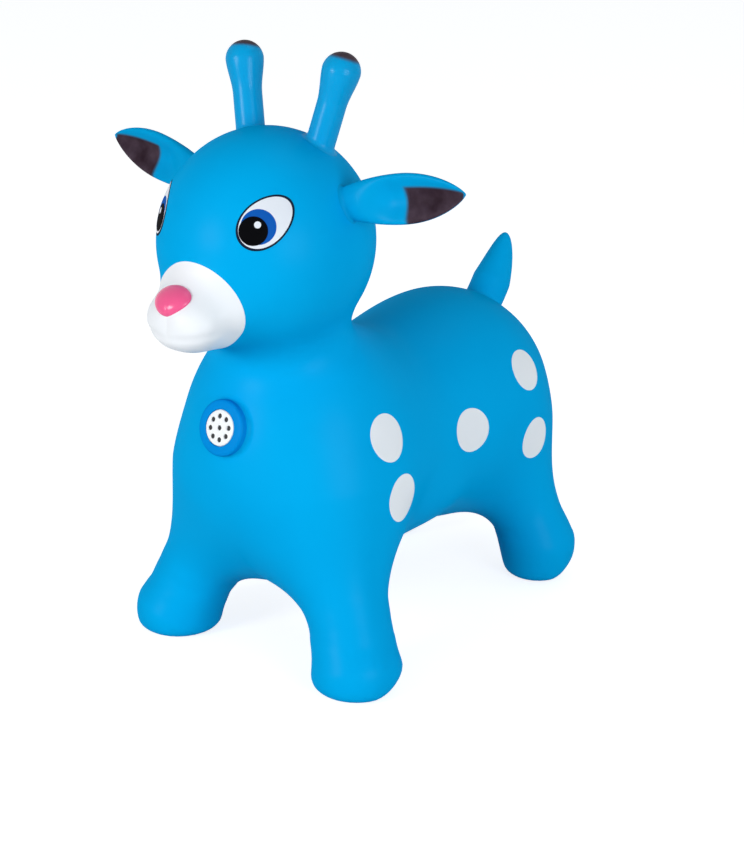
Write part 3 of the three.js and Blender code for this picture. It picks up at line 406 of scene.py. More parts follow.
def principled(name, colour, roughness, metallic=0.0, specular=0.5):
    material = bpy.data.materials.new(name)
    material.use_nodes = True
    shader = material.node_tree.nodes["Principled BSDF"]
    shader.inputs["Base Color"].default_value = (*colour, 1)
    shader.inputs["Roughness"].default_value = roughness
    shader.inputs["Metallic"].default_value = metallic
    shader.inputs["Specular IOR Level"].default_value = specular
    return material, material.node_tree.nodes, material.node_tree.links, shader


def noise(nodes, links, scale, detail=3.0):
    place = nodes.new("ShaderNodeTexCoord")
    texture = nodes.new("ShaderNodeTexNoise")
    texture.inputs["Scale"].default_value = scale
    texture.inputs["Detail"].default_value = detail
    links.new(place.outputs["Object"], texture.inputs["Vector"])
    return texture.outputs["Fac"]


def spread(nodes, links, value, low, high):
    ramp = nodes.new("ShaderNodeMapRange")
    ramp.inputs["From Min"].default_value = NOISE_LOW
    ramp.inputs["From Max"].default_value = NOISE_HIGH
    ramp.inputs["To Min"].default_value = low
    ramp.inputs["To Max"].default_value = high
    links.new(value, ramp.inputs["Value"])
    return ramp.outputs["Result"]


def mixed(nodes, links, share, first, second):
    mix = nodes.new("ShaderNodeMix")
    mix.data_type = "RGBA"
    links.new(share, mix.inputs["Factor"])
    for socket, colour in ((mix.inputs["A"], first), (mix.inputs["B"], second)):
        if isinstance(colour, bpy.types.NodeSocket):
            links.new(colour, socket)
        else:
            socket.default_value = (*colour, 1)
    return mix.outputs["Result"]


def bumped(nodes, links, shader, height, strength, distance):
    bump = nodes.new("ShaderNodeBump")
    bump.inputs["Strength"].default_value = strength
    bump.inputs["Distance"].default_value = distance
    links.new(height, bump.inputs["Height"])
    links.new(bump.outputs["Normal"], shader.inputs["Normal"])


# Soft plastic: slow colour drift, a drifting gloss and a fine moulded grain.
# A tint holds two dark colours, for where the mesh's own mask is painted.
def plastic(name, colour, drift, roughness, grain_scale=900, grain=0.05,
            specular=0.3, coat=0.0, tint=None):
    material, nodes, links, shader = principled(name, colour, roughness, specular=specular)
    shader.inputs["Coat Weight"].default_value = coat
    shader.inputs["Coat Roughness"].default_value = roughness
    cloud = spread(nodes, links, noise(nodes, links, DRIFT_SCALE), 0, 1)
    shade = mixed(nodes, links, cloud, colour, drift)
    if tint:
        mask = nodes.new("ShaderNodeAttribute")
        mask.attribute_name = "tint"
        streaks = spread(nodes, links, noise(nodes, links, STREAK_SCALE), 0, 1)
        dark = mixed(nodes, links, streaks, *tint)
        shade = mixed(nodes, links, mask.outputs["Fac"], shade, dark)
    links.new(shade, shader.inputs["Base Color"])
    speckle = noise(nodes, links, GLOSS_SCALE)
    gloss = spread(nodes, links, speckle, roughness - GLOSS_DRIFT, roughness + GLOSS_DRIFT)
    links.new(gloss, shader.inputs["Roughness"])
    bumped(nodes, links, shader, noise(nodes, links, grain_scale, 2), grain, GRAIN_DEPTH)
    return material


# Plastic that keeps its colour at its edges, with only a thin coat to shine
def vinyl(name, colour, drift, roughness, coat, **more):
    return plastic(name, colour, drift, roughness, specular=0.0, coat=coat, **more)


def metal(name, colour, roughness):
    material, nodes, links, shader = principled(name, colour, roughness, 1.0)
    fine = noise(nodes, links, METAL_GRAIN_SCALE)
    gloss = spread(nodes, links, fine, *(roughness + drift for drift in METAL_GLOSS_DRIFT))
    links.new(gloss, shader.inputs["Roughness"])
    bumped(nodes, links, shader, fine, METAL_GRAIN, METAL_GRAIN_DEPTH)
    return material


BLUE = (0.0, 0.383, 0.76)
BLUE_DEEP = (0.0, 0.36, 0.73)
# Ears and horns take a darker copy of the skin's blue. This is painted shade that tones down the key
# light falling squarely on them.
LIMB_SHADED_BLUE = (0.0, 0.335, 0.66)
LIMB_SHADED_BLUE_DEEP = (0.0, 0.315, 0.63)
TIP = ((0.026, 0.013, 0.02), (0.07, 0.045, 0.062))
VINYL = vinyl("vinyl_blue", BLUE, BLUE_DEEP, 0.32, 0.05, tint=TIP)
EAR_SHADED_VINYL = vinyl("vinyl_ear_shaded", LIMB_SHADED_BLUE, LIMB_SHADED_BLUE_DEEP, 0.32, 0.05, tint=TIP)
HORN_SHADED_VINYL = vinyl("vinyl_horn_shaded", LIMB_SHADED_BLUE, LIMB_SHADED_BLUE_DEEP, 0.24, 0.2, tint=TIP)
SKIN_VINYL = vinyl("vinyl_skin", BLUE, BLUE_DEEP, 0.34, 0.04)
WHITE_PAINT = plastic("white_paint", (0.86, 0.865, 0.88), (0.8, 0.815, 0.84), 0.4, specular=0.2)
NOSE_PINK = plastic("nose_pink", (0.88, 0.1, 0.27), (0.83, 0.085, 0.24), 0.18)
EYE_LINE = vinyl("eye_line", (0.006, 0.012, 0.03), (0.008, 0.016, 0.04), 0.35, 0.06)
EYE_WHITE = plastic("eye_white", (0.76, 0.78, 0.83), (0.73, 0.75, 0.8), 0.36, specular=0.15)
EYE_IRIS = vinyl("eye_iris", (0.006, 0.1, 0.44), (0.005, 0.085, 0.38), 0.34, 0.06)
EYE_PUPIL = vinyl("eye_pupil", (0.0012, 0.0012, 0.0018), (0.002, 0.002, 0.003), 0.3, 0.06)
BEZEL = vinyl("bezel_blue", (0.0, 0.245, 0.66), (0.0, 0.23, 0.63), 0.38, 0.04,
              grain_scale=1500, grain=0.04)
GRILLE = plastic("grille_white", (0.88, 0.88, 0.87), (0.84, 0.84, 0.84), 0.36, 1500, 0.03)
BLACK = plastic("case_black", (0.018, 0.018, 0.02), (0.026, 0.026, 0.028), 0.5, 1800, 0.12)
PLUG = plastic("plug_milky", (0.72, 0.78, 0.8), (0.66, 0.72, 0.75), 0.34, 1200, 0.04)
BOARD = plastic("board_green", (0.012, 0.13, 0.05), (0.01, 0.1, 0.04), 0.4, 2500, 0.05)
CONE = plastic("cone_paper", (0.03, 0.028, 0.026), (0.045, 0.042, 0.04), 0.85, 2600, 0.3)
RED = plastic("lead_red", (0.42, 0.02, 0.015), (0.36, 0.016, 0.012), 0.42, 2500, 0.04)
STEEL = metal("plated_steel", (0.6, 0.61, 0.63), 0.3)

CAD_FINISH = {
    "vinyl_skin": VINYL,
    "plug_plastic": PLUG,
    "bezel_plastic": BEZEL,
    "white_plastic": GRILLE,
    "black_plastic": BLACK,
    "board": BOARD,
    "steel": STEEL,
    "cone_paper": CONE,
    "red_lead": RED,
}
for subpart in frame["record"]["subparts"]:
    node = frame["nodes"][subpart["node"]]
    node.data.materials.clear()
    node.data.materials.append(CAD_FINISH[subpart["material_slot"]])


# Places: rotation (columns are the place's own X, Y and Z) and origin
def place(origin, direction, across):
    z = np.array(direction, float)
    z = z / np.linalg.norm(z)
    y = np.cross(z, np.array(across, float))
    y = y / np.linalg.norm(y)
    return np.stack([np.cross(y, z), y, z], 1), np.array(origin, float)


# The moving pieces' places, from the record's joints
JOINTS = {joint["name"]: joint for joint in frame["record"]["behaviour"]["joints"]}
X_AXIS = (1, 0, 0)


def pivot(joint):
    return np.array(JOINTS[joint]["pos_m"]) / MM


def axis_of(joint):
    return JOINTS[joint]["axis"]


MUSIC = place((0, -160.96, 212.0), axis_of("music_box_pull"), X_AXIS)
VALVE = place((0, 32, 71.39), axis_of("air_plug_pull"), X_AXIS)
HORN = place(pivot("horn_left_flex"), (0.23041, 0.16061, 0.95975), X_AXIS)
EAR = place(pivot("ear_left_flex"), (0.97965, 0.07194, 0.18738), axis_of("ear_left_flex"))
TAIL = place(pivot("tail_flex"), (0, 0.69466, 0.71934), axis_of("tail_flex"))


def boolean_cut(thing, cutter):
    change = thing.modifiers.new("cut", "BOOLEAN")
    change.operation = "DIFFERENCE"
    change.solver = "EXACT"
    change.object = cutter
    evaluated = thing.evaluated_get(bpy.context.evaluated_depsgraph_get())
    mesh = bpy.data.meshes.new_from_object(evaluated)
    thing.modifiers.clear()
    old = thing.data
    thing.data = mesh
    bpy.data.meshes.remove(old)
    bpy.data.objects.remove(cutter)


# Skin: the net's box and cell, and the cuts for the music box and the air plug
SKIN_LOW = (-146, -244, -14)
SKIN_HIGH = (146, 236, 456)
SKIN_CELL = 3.6
POCKET = 19.7
POCKET_CUT = [(POCKET, -21.1), (POCKET, 14)]
VALVE_CUT = [(4.5, -18), (4.5, -3), (9.3, -3), (9.3, 8)]
points, quads = surface_net(bare_field, SKIN_LOW, SKIN_HIGH, SKIN_CELL)
points[:, 2] = np.maximum(points[:, 2], 0)
skin = mesh_object("skin_form", points, quads, SKIN_VINYL)
boolean_cut(skin, lathe("cutter", POCKET_CUT, MUSIC, SKIN_VINYL))
boolean_cut(skin, lathe("cutter", VALVE_CUT, VALVE, SKIN_VINYL, 64))
sharpen(skin, 50)
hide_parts("skin")
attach(skin, "skin")


# Limb: a swept form whose root flares smoothly onto the skin.
# point_at(along, angle) gives its surface, and the root lies somewhere in ROOT_RANGE of its length.
ROOT_RANGE = (-0.25, 0.5)
ROOT_DEPTH = 6
FLARE_STEPS = 12
FLARE_POWER = 1.5
FLARE_SINK = 0.04
FLARE_RIM_SINK = 2.5


def limb(name, where, point_at, length, fillet, material, tint_of, sides=72, rows=64, mirror=False):
    rotation, origin = where
    angle = TAU * np.arange(sides) / sides

    def surface(along):
        return point_at(along, angle) @ rotation.T + origin

    low = np.full(sides, ROOT_RANGE[0] * length)
    high = np.full(sides, ROOT_RANGE[1] * length)
    for _ in range(HALVINGS):
        middle = (low + high) / 2
        inside = form(surface(middle)) < 0
        low = np.where(inside, middle, low)
        high = np.where(inside, high, middle)
    foot = surface(low)
    top = surface(low + fillet)
    outward = foot - foot.mean(0)
    facing = normals_of(form, foot)
    outward = outward - facing * (outward * facing).sum(-1, keepdims=True)
    outward = outward / np.linalg.norm(outward, axis=-1, keepdims=True)
    rim = settle(form, foot + outward * fillet)
    facing = normals_of(form, rim)
    rings = [rim - facing * FLARE_RIM_SINK]
    for step in range(FLARE_STEPS + 1):
        t = 1 - (step / FLARE_STEPS) ** FLARE_POWER
        rings.append((1 - t) ** 2 * top + 2 * t * (1 - t) * foot + t * t * (rim - facing * FLARE_SINK))
    for row in range(1, rows):
        share = math.sin(math.pi / 2 * row / rows)
        rings.append(surface(low + fillet + (length - low - fillet) * share))
    pole = surface(np.full(sides, length)).mean(0)
    points = np.vstack([np.concatenate(rings), [origin - rotation[:, 2] * ROOT_DEPTH, pole]])
    faces = row_faces(len(rings), sides, len(points) - 2, len(points) - 1)
    local = (points - origin) @ rotation
    if mirror:
        points = points * np.array([-1, 1, 1])
        faces = [face[::-1] for face in faces]
    thing = sharpen(mesh_object(name, points, faces, material), 60)
    paint(thing, "tint", tint_of(local))
    return thing


# Puts the limb's place into its mesh and hides the solid of its body
def bend_at(thing, body):
    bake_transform(thing)
    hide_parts(body)


# Horns: a club, and a dark patch on the top of its ball
HORN_LENGTH = 73
HORN_BALL = 15.2
HORN_SHAFT = 11.6
HORN_SWELL_START = 31
HORN_SWELL_PAST_BALL = 2
HORN_FILLET = 4.5
HORN_PATCH = (-0.1, 0.14, 0.985)
HORN_PATCH_FADE = (0.5, 0.76)
HORN_PATCH_START = (50, 58)


def horn_point(along, angle):
    centre = HORN_LENGTH - HORN_BALL
    swell = soft_step(along, HORN_SWELL_START, centre + HORN_SWELL_PAST_BALL)
    shaft = HORN_SHAFT + (HORN_BALL - HORN_SHAFT) * swell
    ball = np.sqrt(np.maximum(HORN_BALL ** 2 - (along - centre) ** 2, 0))
    radius = np.where(along > centre, ball, shaft)
    return np.stack([radius * np.cos(angle), radius * np.sin(angle), along], -1)


def horn_tint(local):
    facing = (local - np.array((0, 0, HORN_LENGTH - HORN_BALL))) / HORN_BALL
    on_patch = soft_step(facing @ np.array(HORN_PATCH), *HORN_PATCH_FADE)
    return on_patch * soft_step(local[:, 2], *HORN_PATCH_START)


for side, body in ((1, "horn_left"), (-1, "horn_right")):
    horn = limb(f"{body}_form", HORN, horn_point, HORN_LENGTH, HORN_FILLET, HORN_SHADED_VINYL, horn_tint,
                mirror=side < 0)
    bend_at(horn, body)


# Ears: a leaf with a hollow front, and a dark patch in the outer half of the hollow.
# Root and full sizes are width and thickness. The patch leaves out the upper rim and the back.
EAR_LENGTH = 106
EAR_WIDEST = 0.47
EAR_TIP_POWER = 0.78
EAR_ROOT = (26, 14)
EAR_FULL = (39, 18)
EAR_HOLLOW = 1.3
EAR_HOLLOW_START = (0.1, 0.4)
EAR_FILLET = 3.5
EAR_PATCH_START = (50, 54)
EAR_PATCH_END = (102.5, 105)
EAR_PATCH_BACK = (0.75, 0.6)
EAR_RIM = 0.43
EAR_RIM_FADE = (-1.2, 1.8)
EAR_LOW_EDGE = (1.0, 0.96)


def ear_half(root, widest, share):
    before = np.clip((EAR_WIDEST - share) / EAR_WIDEST, 0, 2)
    past = np.clip((share - EAR_WIDEST) / (1 - EAR_WIDEST), 0, 1)
    rising = widest - (widest - root) * before ** 2
    falling = widest * np.maximum(1 - past ** 2, 0) ** EAR_TIP_POWER
    return np.where(share < EAR_WIDEST, rising, falling) / 2


def ear_point(along, angle):
    share = along / EAR_LENGTH
    width = ear_half(EAR_ROOT[0], EAR_FULL[0], share)
    thick = ear_half(EAR_ROOT[1], EAR_FULL[1], share)
    front = np.maximum(np.sin(angle), 0)
    hollow = 1 - EAR_HOLLOW * front ** 2 * soft_step(share, *EAR_HOLLOW_START)
    return np.stack([width * np.cos(angle), thick * np.sin(angle) * hollow, along], -1)


def ear_tint(local):
    across, forward, along = local[:, 0], local[:, 1], local[:, 2]
    half = ear_half(EAR_ROOT[0], EAR_FULL[0], along / EAR_LENGTH)
    thick = ear_half(EAR_ROOT[1], EAR_FULL[1], along / EAR_LENGTH)
    back = thick * np.sqrt(np.maximum(1 - (across / np.maximum(half, 1e-6)) ** 2, 0))
    reach = soft_step(along, *EAR_PATCH_START) * (1 - soft_step(along, *EAR_PATCH_END))
    front = soft_step(forward, -back * EAR_PATCH_BACK[0], -back * EAR_PATCH_BACK[1] + 1e-6)
    rim = half * EAR_RIM
    under_rim = 1 - soft_step(across, rim + EAR_RIM_FADE[0], rim + EAR_RIM_FADE[1])
    over_edge = soft_step(across, -half * EAR_LOW_EDGE[0], -half * EAR_LOW_EDGE[1])
    return reach * front * under_rim * over_edge


for side, body in ((1, "ear_left"), (-1, "ear_right")):
    ear = limb(f"{body}_form", EAR, ear_point, EAR_LENGTH, EAR_FILLET, EAR_SHADED_VINYL, ear_tint,
               sides=96, rows=80, mirror=side < 0)
    bend_at(ear, body)

# Tail: a cone with a round tip, curled forward
TAIL_LENGTH = 69
TAIL_CURL = math.radians(24)
TAIL_RADIUS = 18.5
TAIL_TIP = 2.7
TAIL_NARROWING = 0.92
TAIL_FILLET = 5


def tail_point(along, angle):
    share = np.clip(along / TAIL_LENGTH, -1, 1)
    half = TAIL_LENGTH / 2
    middle = 2 * share * (1 - share) * half
    end = share * share
    centre_y = -end * math.sin(TAIL_CURL) * half
    centre_z = middle + end * half * (1 + math.cos(TAIL_CURL))
    radius = np.minimum(TAIL_TIP * np.sqrt(np.maximum(TAIL_LENGTH - along, 0)), TAIL_RADIUS)
    turn = TAIL_CURL * share
    across = radius * np.sin(angle)
    return np.stack([
        radius * np.cos(angle) * TAIL_NARROWING,
        centre_y + across * np.cos(turn),
        centre_z + across * np.sin(turn),
    ], -1)


def no_tint(local):
    return np.zeros(len(local))


tail = limb("tail_form", TAIL, tail_point, TAIL_LENGTH, TAIL_FILLET, VINYL, no_tint)
bend_at(tail, "tail")


# Painted patch: a thin closed leaf on the skin, drawn in the plane that touches the skin at its centre.
# outline(angle) is its radius about its middle, and a dome makes a button of it.
PATCH_RIM_SINK = 0.5
PATCH_HEART_SINK = 2


def tangent_frame(centre):
    facing = normals_of(skin_field, centre[None])[0]
    right = np.cross((0, 0, 1.0), facing)
    right = right / np.linalg.norm(right)
    return facing, right, np.cross(facing, right)


def patch(name, centre, middle, outline, lift, material, dome=0.0, sides=96, rings=14):
    facing, right, upward = tangent_frame(centre)
    heart = centre + middle[0] * right + middle[1] * upward
    angle = TAU * np.arange(sides) / sides
    reach = outline(angle)[:, None]
    rim = reach * np.cos(angle)[:, None] * right + reach * np.sin(angle)[:, None] * upward
    shares = np.sin(math.pi / 2 * np.arange(1, rings + 1) / rings)
    flat = np.concatenate([heart + rim * share for share in shares])
    surface = settle_along(skin_field, flat, facing)
    normal = normals_of(skin_field, surface)
    height = lift + dome * np.sqrt(np.maximum(1 - np.repeat(shares, sides) ** 2, 0))
    raised = surface + normal * height[:, None]
    sunk = surface[-sides:] - normal[-sides:] * PATCH_RIM_SINK
    heart = settle_along(skin_field, heart[None], facing)[0]
    poles = [heart + facing * (lift + dome), heart - facing * PATCH_HEART_SINK]
    points = np.vstack([raised, sunk, poles])
    faces = row_faces(rings + 1, sides, len(points) - 2, len(points) - 1)
    thing = sharpen(mesh_object(name, points, faces, material), 40)
    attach(thing, "skin")


def oval(long, short, lean):
    tilt = math.radians(lean)

    def radius(angle):
        turn = angle - math.pi / 2 + tilt
        return long * short / np.hypot(short * np.cos(turn), long * np.sin(turn))

    return radius


# Point of the skin nearest to a place, on the animal's left (1) or right (-1)
def on_skin(centre, side):
    return settle(skin_field, np.array([(side * centre[0], centre[1], centre[2])], float))[0]


# White spots: place, long and short half sizes, lean from upright in degrees
SPOT_LIFT = 0.16
SPOTS = [
    ((96.8, -77.8, 201.5), 20.1, 17.3, -17),
    ((104.8, -67.4, 149.3), 19.8, 19.3, -22),
    ((89.8, 48.7, 170.4), 20.8, 18.6, -66),
    ((88.1, 131.0, 202.8), 18.8, 17.8, -32),
    ((99.4, 131.8, 141.8), 18.5, 17.1, 25),
]
for side, label in ((1, "left"), (-1, "right")):
    for index, (centre, long, short, lean) in enumerate(SPOTS):
        outline = oval(long, short, side * lean)
        name = f"spot_{label}_{index + 1}"
        patch(name, on_skin(centre, side), (0, 0), outline, SPOT_LIFT, WHITE_PAINT)

# Eyes: an egg with a dark line, then white, iris, pupil and a shine, each clipped by the egg.
# A layer holds its name, its middle, the egg's share and its own radius.
EYE = (52.4, -169.1, 387.9)
EYE_LONG = 25.2
EYE_SHORT = 17.2
EYE_TILT = math.radians(41)
EYE_EGG = 0.1
EYE_INSIDE = 0.92
EYE_LIFT = 0.14
EYE_LAYER_STEP = 0.1
EYE_SHIFTS = {1: (0, 0, 0), -1: (2.0, 0, -3.5)}
EYE_LAYERS = [
    ("line", (0, 0), 1.0, math.inf, EYE_LINE),
    ("white", (0, 0), EYE_INSIDE, math.inf, EYE_WHITE),
    ("iris", (-5.7, -3.8), EYE_INSIDE, 13.3, EYE_IRIS),
    ("pupil", (-9.6, -6.8), EYE_INSIDE, 10.9, EYE_PUPIL),
    ("shine", (-6.3, -2.4), EYE_INSIDE, 2.6, EYE_WHITE),
]


def egg(scale):
    turn = np.linspace(0, TAU, 721)
    x = EYE_LONG * scale * np.cos(turn)
    y = EYE_SHORT * scale * np.sin(turn) * (1 - EYE_EGG * np.cos(turn))
    tilt_cos, tilt_sin = math.cos(EYE_TILT), math.sin(EYE_TILT)
    return np.stack([x * tilt_cos - y * tilt_sin, x * tilt_sin + y * tilt_cos], -1)


# Outline of a layer: its own circle, or the egg where that is nearer
def egg_reach(scale, middle, side, limit):
    rim = egg(scale) * np.array([side, 1]) - np.array(middle)
    bearing = np.arctan2(rim[:, 1], rim[:, 0]) % TAU
    order = np.argsort(bearing)
    reach = np.linalg.norm(rim, axis=1)

    def radius(angle):
        return np.minimum(np.interp(angle, bearing[order], reach[order], period=TAU), limit)

    return radius


for side, label in ((1, "left"), (-1, "right")):
    centre = on_skin(np.array(EYE) + np.array(EYE_SHIFTS[side]), side)
    for depth, (part, middle, scale, limit, material) in enumerate(EYE_LAYERS):
        middle = (side * middle[0], middle[1])
        outline = egg_reach(scale, middle, side, limit)
        lift = EYE_LIFT + EYE_LAYER_STEP * depth
        patch(f"eye_{part}_{label}", centre, middle, outline, lift, material)


# Muzzle paint: a cap seen from the paint's own centre. FARTHEST is outside the skin all round.
FARTHEST = 140


def cap(name, centre, edge, lift, material, sides=144, rings=40):
    origin = np.array(centre, float)
    turn = TAU * np.arange(sides) / sides
    rows = []
    for ring in range(1, rings + 1):
        away = edge(turn) * ring / rings
        aside = np.sin(away)
        rows.append(np.stack([aside * np.cos(turn), -np.cos(away), aside * np.sin(turn)], -1))
    directions = np.vstack([np.concatenate(rows), [[0, -1, 0]]])
    low = np.zeros(len(directions))
    high = np.full(len(directions), float(FARTHEST))
    for _ in range(HALVINGS):
        reach = (low + high) / 2
        inside = skin_field(origin + directions * reach[:, None]) < 0
        low = np.where(inside, reach, low)
        high = np.where(inside, high, reach)
    surface = origin + directions * low[:, None]
    normal = normals_of(skin_field, surface)
    raised = surface + normal * lift
    sunk = surface[-sides - 1:-1] - normal[-sides - 1:-1] * PAINT_RIM_SINK
    points = np.vstack([raised[:-1], sunk, raised[-1:], [origin]])
    faces = row_faces(rings + 1, sides, len(points) - 2, len(points) - 1)
    faces = [face[::-1] for face in faces]
    thing = sharpen(mesh_object(name, points, faces, material), 40)
    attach(thing, "skin")


cap("muzzle_paint", PAINT_CENTRE, muzzle_edge, PAINT_LIFT, WHITE_PAINT)

# Nose: a rounded three-cornered button wrapped round the muzzle's front
NOSE = (-2.4, -215.5, 329)
NOSE_HALF = (16.3, 13)
NOSE_TOP_WIDENING = 0.2
NOSE_HEIGHT = 5.5
NOSE_LIFT = 0.2


def nose_outline(angle):
    wide = NOSE_HALF[0] * (1 + NOSE_TOP_WIDENING * np.sin(angle))
    return 1 / np.hypot(np.cos(angle) / wide, np.sin(angle) / NOSE_HALF[1])


patch("nose", on_skin(NOSE, 1), (0, 0), nose_outline, NOSE_LIFT, NOSE_PINK, NOSE_HEIGHT, rings=24)

# Music box: outlines hold radius and height, from the pocket's own place on the chest
BEZEL_RADIUS = 22.5
BEZEL_BORE = 16.5
BEZEL_TUBE = 17.6
BEZEL_COLLAR = 19.4
BEZEL_WINDOW = 14.6
BEZEL_BACK = -6.8
BEZEL_STEP = -3.8
BEZEL_SEAT = 1.3
BEZEL_LEDGE = 5.7
BEZEL_DOME = (2.8, 2.5)
BEZEL_DOME_FOOT = 4.6
BEZEL_LIP = 0.7
BEZEL_LIP_FOOT = 7.0
bezel_outline = [
    (BEZEL_TUBE, BEZEL_BACK),
    (BEZEL_TUBE, BEZEL_STEP),
    (BEZEL_COLLAR, BEZEL_STEP),
    (BEZEL_COLLAR, BEZEL_SEAT),
    (BEZEL_RADIUS, BEZEL_SEAT),
    *arc((BEZEL_RADIUS - BEZEL_DOME[0], BEZEL_DOME_FOOT), BEZEL_DOME, 0, 90, 10),
    *arc((BEZEL_WINDOW + BEZEL_LIP, BEZEL_LIP_FOOT), (BEZEL_LIP, BEZEL_LIP), 90, 180, 6),
    (BEZEL_WINDOW, BEZEL_LEDGE),
    (BEZEL_BORE, BEZEL_LEDGE),
    (BEZEL_BORE, BEZEL_BACK),
]
bezel = sharpen(lathe("bezel_ring", bezel_outline, MUSIC, BEZEL, closed=True), 35)
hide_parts("music_bezel")
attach(bezel, "music_box")

# Raised vinyl seat round the music box's pocket, flaring onto the chest
SEAT_SIDES = 96
SEAT_TOP = 1.0
SEAT_DEPTH = 12
SEAT_RADIUS = 22.4
SEAT_EDGE = 1.5
SEAT_FOOT = 27.5
SEAT_FOOT_SINK = 3
SEAT_BEND_OUT = 0.8
SEAT_BEND_DROP = 0.8
SEAT_STEPS = 12


def seat_ring():
    rotation, origin = MUSIC
    outward = rotation[:, 2]

    def ring(radius, height):
        return circle(radius, height, SEAT_SIDES) @ rotation.T + origin

    foot = settle_along(skin_field, ring(SEAT_FOOT, 0), outward)
    top = ring(SEAT_RADIUS, SEAT_TOP)
    bend = ring(SEAT_RADIUS + SEAT_BEND_OUT, ((foot - origin) @ outward) * SEAT_BEND_DROP)
    rows = [ring(POCKET, -SEAT_DEPTH), ring(POCKET, SEAT_TOP), ring(SEAT_RADIUS - SEAT_EDGE, SEAT_TOP)]
    for step in range(SEAT_STEPS + 1):
        t = step / SEAT_STEPS
        rows.append((1 - t) ** 2 * top + 2 * t * (1 - t) * bend + t * t * foot)
    rows.append(foot - outward * SEAT_FOOT_SINK)
    faces = [face[::-1] for face in loop_faces(len(rows), SEAT_SIDES)]
    thing = sharpen(mesh_object("music_seat", np.concatenate(rows), faces, SKIN_VINYL), 35)
    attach(thing, "skin")


seat_ring()

# Grille button: a ring of holes and one in the middle, with a black disc set in each hole as painted
# shade for its dark inside
BUTTON_FLANGE = 16.2
BUTTON_FLANGE_HEIGHTS = (3.9, 5.4)
BUTTON_RADIUS = 14.3
BUTTON_ROUND = 0.9
BUTTON_ROUND_FOOT = 6.4
BUTTON_CROWN = (8.0, 7.55)
HOLES = 8
HOLE_CIRCLE = 9.3
HOLE_TURN = math.radians(10)
HOLE_CUT = [(2.1, 2), (2.1, 10)]
# Black disc inside each hole: painted shade, standing for the dark inside of the hole
HOLE_SHADE_DISC = [(2.05, 4.3), (2.05, 6.6)]
HOLE_SIDES = 24
button_outline = [
    (BUTTON_FLANGE, BUTTON_FLANGE_HEIGHTS[0]),
    (BUTTON_FLANGE, BUTTON_FLANGE_HEIGHTS[1]),
    (BUTTON_RADIUS, BUTTON_FLANGE_HEIGHTS[1]),
    *arc((BUTTON_RADIUS - BUTTON_ROUND, BUTTON_ROUND_FOOT), (BUTTON_ROUND, BUTTON_ROUND), 0, 90, 6),
    BUTTON_CROWN,
]
button = lathe("grille_button", button_outline, MUSIC, GRILLE)
turns = [TAU * hole / HOLES + HOLE_TURN for hole in range(HOLES)]
hole_places = [(HOLE_CIRCLE * math.cos(turn), HOLE_CIRCLE * math.sin(turn), 0) for turn in turns]
hole_places.append((0, 0, 0))
hole_shade_points, hole_shade_faces = [], []
for hole_place in hole_places:
    where = (MUSIC[0], MUSIC[1] + MUSIC[0] @ np.array(hole_place))
    boolean_cut(button, lathe("cutter", HOLE_CUT, where, BLACK, HOLE_SIDES))
    dot = lathe("dot", HOLE_SHADE_DISC, where, BLACK, HOLE_SIDES)
    hole_shade_faces += [[len(hole_shade_points) + i for i in face.vertices] for face in dot.data.polygons]
    hole_shade_points += [tuple(vertex.co / MM) for vertex in dot.data.vertices]
    bpy.data.objects.remove(dot)
hole_shade = sharpen(mesh_object("grille_hole_shade", hole_shade_points, hole_shade_faces, BLACK), 35)
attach(hole_shade, "music_button")
sharpen(button, 35)
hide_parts("music_button")
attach(button, "music_button")

# Air plug: a tapered stem, a flange and a dimpled face
plug_stem = [(3.9, -14.7), (4.2, -10.5), (4.2, -2.7)]
plug_flange = [(9.0, -2.7), (9.0, -1.2), (8.6, -0.75)]
plug_dimple = [(3.2, -0.7), (2.6, -1.1), (0.6, -1.1)]
plug = sharpen(lathe("plug_cap", plug_stem + plug_flange + plug_dimple, VALVE, PLUG, 72), 40)
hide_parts("air_plug")
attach(plug, "air_plug")

# Floor: pale paper, sizes in metres
FLOOR_HALF = 30
PAPER = (0.55, 0.55, 0.55)
PAPER_GLOW = 0.8
corners = [(x * FLOOR_HALF, y * FLOOR_HALF, 0) for x, y in ((-1, -1), (1, -1), (1, 1), (-1, 1))]
floor_mesh = bpy.data.meshes.new("floor")
floor_mesh.from_pydata(corners, [], [(0, 1, 2, 3)])
floor = bpy.data.objects.new("floor", floor_mesh)
bpy.context.scene.collection.objects.link(floor)
paper, paper_nodes, paper_links, paper_shader = principled("floor_paper", PAPER, 0.9, specular=0.0)
floor_mesh.materials.append(paper)


# Share of rays that see the pale backdrop: the camera's own and those of gloss and glass
def backdrop_rays(nodes, links):
    rays = nodes.new("ShaderNodeLightPath")
    total = rays.outputs["Is Camera Ray"]
    for kind in ("Is Glossy Ray", "Is Transmission Ray"):
        most = nodes.new("ShaderNodeMath")
        most.operation = "MAXIMUM"
        links.new(total, most.inputs[0])
        links.new(rays.outputs[kind], most.inputs[1])
        total = most.outputs["Value"]
    return total


# Paper glow that lifts the floor to white, and leaves the shadow
glow = paper_nodes.new("ShaderNodeMath")
glow.operation = "MULTIPLY"
glow.inputs[1].default_value = PAPER_GLOW
paper_links.new(backdrop_rays(paper_nodes, paper_links), glow.inputs[0])
paper_shader.inputs["Emission Color"].default_value = (1, 1, 1, 1)
paper_links.new(glow.outputs["Value"], paper_shader.inputs["Emission Strength"])

